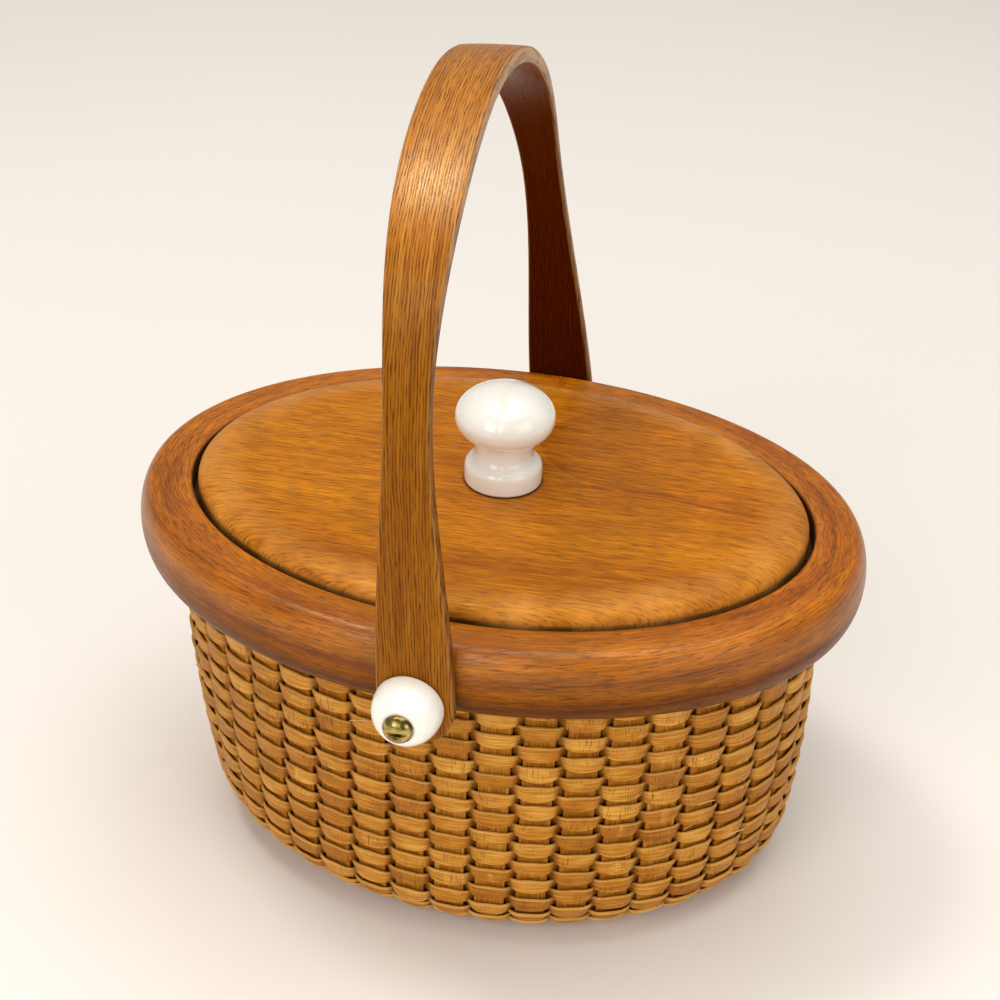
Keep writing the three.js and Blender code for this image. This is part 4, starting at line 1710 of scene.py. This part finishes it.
    def make(self) -> None:
        """Grows the staves, the strand and its loose fibres, and dresses them."""
        stave_finish, strand_finish = STAVE_CANE.material(), WEAVER_CANE.material()
        widest = 2 * float(self.half_width(0, np.array([0.0]))[0])
        growth = self.strip("stave_strips", widest, self.stave_thickness, self.stave_ease)
        staves = growth.grow("staves", self.stave_guide(widest), stave_finish)
        nodes = [f"stave_{i + 1:02d}" for i in range(self.staves)]
        seat(staves, stave_finish, Body.BASKET, nodes)
        strand = self.strand_path()
        marks = {key: values for key, values in strand.items() if key != "points"}
        guide = guide_mesh("strand_line", strand["points"], chain(len(strand["points"])), marks)
        growth = self.strip("weaver_strand", self.strand_width, self.strand_thickness, self.strand_ease)
        weaver = growth.grow("weaver", guide, strand_finish)
        finish_mesh(weaver.data, self.strand_crease)
        seat(weaver, strand_finish, Body.BASKET, ["cane_weaver"])
        fibre_finish = FRAYED_CANE.material()
        growth = FibreGrowth("loose_fibres", {"Thickness": self.fibre_thickness, "Lift": self.fibre_lift})
        fibres = growth.grow("weaver_fibres", self.fibre_guide(strand), fibre_finish)
        seat(fibres, fibre_finish, Body.BASKET)


@dataclass
class BaseBoard:
    """Oval pine board with a groove in its edge, which holds the feet of the staves."""

    thickness: float = 10.0
    ease: float = 1.0
    ease_share: float = 0.3
    edge: float = -17.19
    end: float = -6.5
    groove_low: float = 3.1
    groove_high: float = 5.9
    groove_depth: float = 5.8
    shift: float = 3.4

    def make(self) -> None:
        """Builds and dresses the board."""
        inner, step = self.edge - self.groove_depth, self.ease_share * self.ease
        piece = MOUTH.board("base", [
            (self.edge - self.ease, 0.0), (self.edge - step, step), (self.edge, self.ease),
            (self.edge, self.groove_low), (inner, self.groove_low), (inner, self.groove_high),
            (self.edge, self.groove_high), (self.edge, self.thickness - self.ease),
            (self.edge - step, self.thickness - step), (self.edge - self.ease, self.thickness),
        ], end=self.end)
        piece.data.transform(Matrix.Translation((self.shift * MM, 0, 0)))
        seat(piece, BASE_PINE.material(), Body.BASKET, ["base_board"])


@dataclass
class Lid:
    """Oval lid board that lies on the rim's ledge, with a rolled border and a turned knob."""

    ledge: float = 120.5
    top: float = 132.8
    crown: float = 0.6
    edge: float = 5.8
    end: float = -1.25
    foot_ease: float = 0.6
    border: float = 13.0
    border_power: float = 0.74
    border_steps: int = 14
    # Gap round the lid. It is 0.4 mm wider than in the solids, so that it shows as the dark line that it is.
    clearance: float = 1.4
    knob_foot_radius: float = 12.7
    knob_flat: float = 1.2
    knob_ease: float = 1.0
    knob_ease_steps: int = 4
    knob_side: float = 4.8
    knob_shoulder_radius: float = 11.2
    knob_shoulder: float = 7.9
    knob_neck_radius: float = 9.3
    knob_neck: float = 10.6
    # How far the curves of shoulder, cove and neck are drawn beyond their ends.
    knob_shoulder_pull: float = 0.9
    knob_cove_pull: float = 1.2
    knob_neck_pull: float = 2.6
    knob_curve_steps: int = 6
    knob_ball_radius: float = 16.2
    knob_ball_half: float = 10.2
    knob_ball_start: float = math.radians(-50)
    knob_ball_steps: int = 26
    knob_height: float = 33.6
    knob_sides: int = 72
    knob_shift: float = 0.9
    screw_radius: float = 2.0
    screw_length: float = 6.0
    screw_head_radius: float = 4.2
    screw_head_height: float = 2.4
    screw_head_flat: float = 0.2
    screw_head_turns: tuple[float, ...] = (1.4, 1.1, 0.8, 0.4, 0.1)
    screw_slot: float = 1.0
    screw_slot_depth: float = 1.1
    screw_sides: int = 40

    def board(self) -> Piece:
        """Builds the lid board.

        Returns:
            The board.
        """
        side, foot = -self.clearance, self.foot_ease
        shoulder = self.ledge + self.edge
        rise = self.top - self.crown - shoulder
        edge = [(side - foot, self.ledge), (side, self.ledge + foot), (side, shoulder)]
        for turn in np.linspace(0, QUARTER, self.border_steps)[1:]:
            fall, lift = math.cos(turn) ** self.border_power, math.sin(turn) ** self.border_power
            edge.append((side - self.border * (1 - fall), shoulder + rise * lift))
        return MOUTH.board("lid_board", edge, self.crown, self.end)

    def knob_profile(self) -> Profile:
        """Profile of the knob: foot, cove, neck and flattened ball.

        Returns:
            Radius and height of each place, from the foot up.
        """
        foot, neck = self.knob_foot_radius, self.knob_neck_radius
        ease, steps = self.knob_ease, self.knob_curve_steps
        middle = self.knob_height - self.knob_ball_half
        side = (foot, self.knob_side)
        shoulder = (self.knob_shoulder_radius, self.knob_shoulder)
        throat = (neck, self.knob_neck)
        ball = [
            (self.knob_ball_radius * math.cos(turn), middle + self.knob_ball_half * math.sin(turn))
            for turn in np.linspace(self.knob_ball_start, QUARTER, self.knob_ball_steps)[:-1]
        ]
        return [
            (foot - self.knob_flat, 0.0),
            *bend((foot - ease, 0.0), (foot, 0.0), (foot, ease), self.knob_ease_steps), side,
            *bend(side, (foot, self.knob_shoulder - self.knob_shoulder_pull), shoulder, steps)[1:],
            *bend(shoulder, (neck, self.knob_shoulder + self.knob_cove_pull), throat, steps)[1:],
            *bend(throat, (neck, self.knob_neck + self.knob_neck_pull), ball[0], steps)[1:-1],
            *ball,
        ]

    def screw(self) -> Piece:
        """Builds the slotted screw with its head below.

        Returns:
            The screw.
        """
        head, tall, flat = self.screw_head_radius, self.screw_head_height, self.screw_head_flat
        dome = [
            ((1 - flat) * head * math.cos(turn) + flat * head, -tall * math.sin(turn))
            for turn in self.screw_head_turns
        ]
        shank = [(self.screw_radius, 0.0), (self.screw_radius, self.screw_length)]
        screw = turned("lid_screw_head", [(flat, -tall), *dome, (head, 0.0), *shank], self.screw_sides)
        # The cutter is longer than the head is wide, so that the slot is open at both ends.
        cut_away(screw, slot_cutter(2.4 * head, self.screw_slot, self.screw_slot_depth, -tall))
        return screw

    def make(self) -> None:
        """Builds and dresses the board, the knob and the screw below."""
        seat(self.board(), LID_CHERRY.material(), Body.LID, ["lid"])
        knob = turned("knob", self.knob_profile(), self.knob_sides)
        knob.data.transform(Matrix.Translation((self.knob_shift * MM, 0, self.top * MM)))
        seat(knob, WHITE_PORCELAIN.material(), Body.LID, ["lid_knob"])
        screw = self.screw()
        screw.data.transform(Matrix.Translation((self.knob_shift * MM, 0, self.ledge * MM)))
        seat(screw, OLD_BRASS.material(), Body.LID, ["lid_screw"])


@dataclass
class Handle:
    """Bow of bent oak: wide round ends on the pivots, a slim waist and a broader top."""

    height: float = 161.2
    half_span: float = 97.3
    thickness: float = 5.5
    end_width: float = 23.3
    waist_width: float = 13.5
    top_width: float = 21.2
    waist_height: float = 93.0
    haunch: float = 4.4
    crown: float = 1.87
    twist: float = 5.4
    tail: float = 2.2
    tip_start: float = math.radians(6)
    ease: float = 0.9
    # Largest share of half the strip's width that a rounded corner takes up.
    ease_most: float = 0.9
    corner_points: int = 6
    face_crown: float = 0.25
    face_places: tuple[float, ...] = (0.25, 0.5, 0.75)
    # How rubbed a corner is, from the broad face through its own middle to the side face.
    wear_places: Corner = (0.0, 0.45, 1.0)
    wear: Corner = (0.0, 1.0, 0.75)
    # Share of the thickness where the inner face starts, and how its dark colour fades towards the top.
    inner_start: float = 0.6
    inner_fade: float = 0.4
    inner_fade_power: int = 4
    pivot_height: float = 110.8
    pivot_shift: float = -1.1
    lean: float = math.radians(-4.77)
    bore: float = 2.55
    bore_reach: float = 110.0
    bore_sides: int = 32
    arm_steps: int = 80
    end_steps: int = 14
    fine_steps: int = 600
    # Step of the turn that the bow's direction is measured over, and least value under the tip's root.
    turn_step: float = 1e-3
    least: float = 1e-4
    crease: float = 60.0

    def width(self, height: float) -> float:
        """Width of the strip.

        Args:
            height: Height over the pivots.

        Returns:
            The width in millimetres.
        """
        if height < -self.tail:
            return 2 * math.sqrt(max((self.end_width / 2) ** 2 - (height + self.tail) ** 2, self.least))
        wide, reach = self.top_width, self.height - self.waist_height
        if height < self.waist_height:
            wide, reach = self.end_width, self.waist_height
        share = min(abs(height - self.waist_height) / reach, 1.0)
        return self.waist_width + (wide - self.waist_width) * share * share * (3 - 2 * share)

    def outer(self, turn: float) -> Array:
        """Outer face of the bow in its own plane.

        Args:
            turn: Place on the arm, from 0 at the pivot to a quarter turn at the top.

        Returns:
            Distance from the middle and height.
        """
        rise = math.sin(turn)
        across = self.half_span * max(1 - rise**self.haunch, 0) ** (1 / self.crown)
        return np.array((across, self.height * rise))

    def stations(self) -> list[tuple[Array, Array, float]]:
        """Places along one arm and over to the other.

        Returns:
            For each place: point on the outer face, outward normal, and inset of the rounded tip.
        """
        arm = []
        radius = self.end_width / 2
        for turn in np.linspace(self.tip_start, QUARTER, self.end_steps):
            drop = radius * math.cos(turn)
            gap = min(radius - drop, self.ease)
            inset = self.ease - math.sqrt(self.ease**2 - (self.ease - gap) ** 2)
            arm.append((np.array((self.half_span, -self.tail - drop)), np.array((1.0, 0.0)), inset))
        # Even steps of length along the arm, so that the grain is not stretched.
        fine = np.linspace(0, QUARTER, self.fine_steps)
        lengths = run_lengths(np.array([self.outer(turn) for turn in fine]))
        for length in np.linspace(0, lengths[-1], self.arm_steps)[:-1]:
            turn = float(np.interp(length, lengths, fine))
            above, below = min(turn + self.turn_step, QUARTER), max(turn - self.turn_step, 0.0)
            tangent = self.outer(above) - self.outer(below)
            tangent /= np.linalg.norm(tangent)
            arm.append((self.outer(turn), np.array((tangent[1], -tangent[0])), 0.0))
        top = (np.array((0.0, self.height)), np.array((0.0, 1.0)), 0.0)
        mirror = np.array((-1.0, 1.0))
        other = [(place * mirror, normal * mirror, inset) for place, normal, inset in reversed(arm)]
        return [*arm, top, *other]

    def section(self, width: float, inset: float) -> tuple[Profile, list[float], list[float]]:
        """Section of the strip, eased at its corners and a little crowned.

        Args:
            width: Width of the strip.
            inset: How far the faces draw in at the tip.

        Returns:
            Points across and into the strip, how worn each is, and how far each is on the inner face.
        """
        half = width / 2
        ease = min(self.ease, self.ease_most * half)
        outline, worn, inner = [], [], []
        near, far = inset + self.face_crown, self.thickness - inset - self.face_crown
        deep = min(self.ease, (far - near) / 2)
        corners = [(half, near, 1, -1), (half, far, 1, 1), (-half, far, -1, 1), (-half, near, -1, -1)]
        for quarter, (x, depth, way, side) in enumerate(corners):
            for share in np.linspace(0, 1, self.corner_points):
                turn = (quarter - 1 + share) * QUARTER
                into = depth - side * deep + deep * math.sin(turn)
                outline.append((x - way * ease + ease * math.cos(turn), into))
                # The corners are rubbed most, the side faces nearly as much, the broad faces not at all.
                aside = share if quarter % 2 == 0 else 1 - share
                worn.append(float(np.interp(aside, self.wear_places, self.wear)))
                inner.append(float(into > self.thickness * self.inner_start))
            # The faces between the corners swell a little towards their middle.
            if side * way > 0:
                for share in self.face_places:
                    swell = self.face_crown * 4 * share * (1 - share)
                    outline.append(((half - ease) * (1 - 2 * share) * way, depth + side * swell))
                    worn.append(0.0)
                    inner.append(float(side > 0))
        return outline, worn, inner

    def sprung(self, x: float, across: float, height: float) -> Corner:
        """Moves a place of the true bow to where it has sprung: one arm leans to each side."""
        lean = self.twist * max(height, 0.0) * across / (self.height * self.half_span)
        return x - self.pivot_shift - lean, across, height

    def make(self) -> None:
        """Builds the bow, bores it for the pivots, leans it and dresses it."""
        stations = self.stations()
        lengths = run_lengths(np.array([place for place, _, _ in stations]))
        rings, edge, inner, strip = [], [], [], []
        for (place, normal, inset), length in zip(stations, lengths):
            outline, worn, inside = self.section(self.width(place[1]), inset)
            rings.append([self.sprung(x, *(place - normal * depth)) for x, depth in outline])
            edge += worn
            fade = self.inner_fade * max(place[1] / self.height, 0.0) ** self.inner_fade_power
            inner += [flag * (1.0 - fade) for flag in inside]
            # Places in the straight strip before it was bent: across, along and into it, in millimetres.
            strip += [(x, length, depth) for x, depth in outline]
        piece = skin("handle_bow", np.array(rings), crease=self.crease)
        # The last two points are the middles of the two tips.
        carry(piece.data, {
            "edge": np.array([*edge, 0.0, 0.0]), "inner": np.array([*inner, 0.0, 0.0]),
            "strip": np.array([*strip, (0.0, 0.0, 0.0), (0.0, lengths[-1], 0.0)]),
        })
        rod = turned("bore", [(self.bore, -self.bore_reach), (self.bore, self.bore_reach)], self.bore_sides)
        rod.data.transform(Matrix.Rotation(QUARTER, 4, "X"))
        cut_away(piece, rod, self.crease)
        pivot = Matrix.Translation((self.pivot_shift * MM, 0, self.pivot_height * MM))
        piece.data.transform(pivot @ Matrix.Rotation(self.lean, 4, "Y"))
        seat(piece, HANDLE_OAK.material(), Body.HANDLE, ["handle"])


@dataclass
class Pivots:
    """Porcelain dome and round-head brass screw outside each end of the handle."""

    height: float = 110.8
    shift: float = -1.1
    plane: float = 97.6
    radius: float = 10.7
    dome_height: float = 11.0
    dome_start: float = 0.4
    dome_points: int = 18
    # Place of the dome's first point on its way from the border to the seat.
    dome_first: float = 0.02
    # Insets and heights of the eased border of the dome's back.
    back: tuple[Pair, ...] = ((0.5, 0.0), (0.1, 0.25))
    bore_gap: float = 0.35
    seat_radius: float = 5.0
    seat_ease: float = 0.5
    seat_dip: float = 0.15
    seat_gap: float = 0.3
    fullness: float = 2.5
    screw_radius: float = 2.2
    shank: float = 26.6
    tip_share: float = 0.4
    tip_length: float = 3.0
    head_radius: float = 4.7
    head_height: float = 3.13
    head_inset: float = 0.3
    head_start: float = 0.06
    head_points: int = 10
    slot_width: float = 1.2
    slot_depth: float = 1.5
    screw_sides: int = 48

    def swell(self, radius: float) -> float:
        """Height of the full dome at a radius, as a share of its height on the axis."""
        return (1 - (radius / self.radius) ** self.fullness) ** (1 / self.fullness)

    def dome_profile(self) -> Profile:
        """Profile of the dome, from its flat back to the seat of the screw.

        Returns:
            Radius and height of each place, once round.
        """
        bore, seat_height = self.screw_radius + self.bore_gap, self.dome_height - self.seat_dip
        profile = [(bore, 0.0), *[(self.radius - inset, height) for inset, height in self.back]]
        for share in np.linspace(self.dome_first, 1, self.dome_points):
            radius = self.radius - (self.radius - self.seat_radius) * share**2
            rise = self.swell(radius) / self.swell(self.seat_radius)
            profile.append((radius, self.dome_start + (self.dome_height - self.dome_start) * rise))
        return [*profile, (self.seat_radius - self.seat_ease, seat_height), (bore, seat_height)]

    def screw_profile(self) -> Profile:
        """Profile of the screw: shank, and a round head on top.

        Returns:
            Radius and height of each place, from the shank's end up.
        """
        turns = np.linspace(self.head_start, QUARTER - self.head_start, self.head_points)
        head = [(self.head_radius * math.cos(turn), self.head_height * math.sin(turn)) for turn in turns]
        return [
            (self.screw_radius * self.tip_share, -self.shank),
            (self.screw_radius, -self.shank + self.tip_length), (self.screw_radius, 0.0),
            (self.head_radius - self.head_inset, 0.0), *head,
        ]

    def guide(self, level: float) -> Mesh:
        """Guide of the two pivots.

        Args:
            level: Distance of the fitting's own zero outside the dome's back.

        Returns:
            The guide mesh, front and back.
        """
        points = np.array([(self.shift, way * (self.plane + level), self.height) for way in (-1, 1)])
        turns = np.array([(QUARTER, 0.0, 0.0), (-QUARTER, 0.0, 0.0)])
        return guide_mesh("pivot_points", points, [], {"turn": turns})

    def make(self) -> None:
        """Builds and dresses the domes and the screws."""
        dome = turned("dome", self.dome_profile(), hollow=True)
        glaze = WHITE_PORCELAIN.material()
        domes = FittingGrowth("pivot_domes").grow("pivot_domes", self.guide(0.0), glaze, dome)
        seat(domes, glaze, Body.BASKET, ["pivot_knob_front", "pivot_knob_back"])
        screw = turned("screw", self.screw_profile(), self.screw_sides)
        # The cutter is longer than the head is wide, so that the slot is open at both ends.
        cut_away(screw, slot_cutter(3 * self.head_radius, self.slot_width, self.slot_depth, self.head_height))
        brass = OLD_BRASS.material()
        level = self.dome_height + self.seat_gap
        screws = FittingGrowth("pivot_screws").grow("pivot_screws", self.guide(level), brass, screw)
        seat(screws, brass, Body.BASKET, ["pivot_screw_front", "pivot_screw_back"])


# Studio


@dataclass(frozen=True)
class SoftLight:
    """One soft square light: its place and its side in metres, its power in watts and its colour."""

    name: str
    place: Corner
    side: float
    power: float
    tint: str

    def hang(self, aim: Vector) -> None:
        """Hangs the light so that it looks at a place.

        Args:
            aim: The place, in metres.
        """
        lamp = bpy.data.lights.new(self.name, "AREA")
        lamp.shape, lamp.size, lamp.energy = "SQUARE", self.side, self.power
        lamp.color = linear(self.tint)[:3]
        turn = (aim - Vector(self.place)).to_track_quat("-Z", "Y").to_matrix().to_4x4()
        new_object(self.name, lamp).matrix_world = Matrix.Translation(self.place) @ turn


@dataclass
class Studio:
    """Camera at the photograph's view, a pale floor and soft light."""

    # The camera as it was fitted: aim and unit in metres, distance and slide in units, angles in radians,
    # focal length and image in pixels, sensor in millimetres.
    aim: Corner = (0.0, 0.0, 0.127)
    unit: float = 0.104
    azimuth: float = 0.236331652
    elevation: float = 0.548265107
    roll: float = 0.0376720825
    distance: float = 6.21997262
    focal: float = 1972.93684
    slide: Pair = (0.000879520677, -0.0218760404)
    image: float = 1000.0
    sensor: float = 36.0
    clip: Pair = (0.02, 60.0)
    floor_half: float = 12.0
    air: str = "#f8f5f0"
    air_strength: float = 0.32
    lights: tuple[SoftLight, ...] = (
        SoftLight("window", (-0.35, -1.55, 1.0), 1.2, 15.0, "#fffbf6"),
        SoftLight("lamp", (-0.66, 0.06, 1.9), 0.42, 8.0, "#fffaf2"),
        SoftLight("fill", (1.5, -0.9, 0.9), 1.2, 7.5, "#fffcf8"),
        SoftLight("ceiling", (0.1, 0.15, 2.0), 1.8, 22.0, "#fffdfa"),
    )

    def camera(self) -> None:
        """Sets the camera where the photograph was taken from."""
        az, el = self.azimuth, self.elevation
        back = Vector((math.sin(az) * math.cos(el), -math.cos(az) * math.cos(el), math.sin(el)))
        level = Vector((math.cos(az), math.sin(az), 0.0))
        rise = back.cross(level)
        right = level * math.cos(self.roll) + rise * math.sin(self.roll)
        up = rise * math.cos(self.roll) - level * math.sin(self.roll)
        away = back * self.distance + right * self.slide[0] + up * self.slide[1]
        lens = bpy.data.cameras.new("photo_camera")
        lens.sensor_width = self.sensor
        lens.lens = self.focal / self.image * self.sensor
        lens.clip_start, lens.clip_end = self.clip
        camera = new_object("photo_camera", lens)
        turn = Matrix((right, up, back)).transposed().to_4x4()
        camera.matrix_world = Matrix.Translation(Vector(self.aim) + away * self.unit) @ turn
        bpy.context.scene.camera = camera

    def floor(self) -> None:
        """Lays the paper under the basket."""
        half = self.floor_half
        mesh = bpy.data.meshes.new("floor")
        corners = [(-half, -half, 0), (half, -half, 0), (half, half, 0), (-half, half, 0)]
        mesh.from_pydata(corners, [], [(0, 1, 2, 3)])
        mesh.materials.append(PAPER.material())
        new_object("floor", mesh)

    def room(self) -> None:
        """Fills the room with even light."""
        world = bpy.data.worlds.new("room")
        world.use_nodes = True
        tree = world.node_tree
        tree.nodes.clear()
        inputs = {"Color": linear(self.air), "Strength": self.air_strength}
        air = add_node(tree, "ShaderNodeBackground", inputs)
        add_node(tree, "ShaderNodeOutputWorld", {"Surface": air})
        bpy.context.scene.world = world

    def make(self) -> None:
        """Sets up the camera, the floor, the lights and the room."""
        self.camera()
        self.floor()
        for light in self.lights:
            light.hang(Vector(self.aim))
        self.room()
        bpy.context.scene.view_settings.view_transform = "Standard"


def main() -> None:
    """Builds the studio and the basket over the CAD frame."""
    logging.basicConfig(level=logging.INFO, format="%(name)s %(message)s")
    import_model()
    Studio().make()
    for part in (Rim(), WovenWall(), BaseBoard(), Lid(), Handle(), Pivots()):
        part.make()
        LOG.info("%s done", type(part).__name__)


if __name__ == "__main__":
    main()
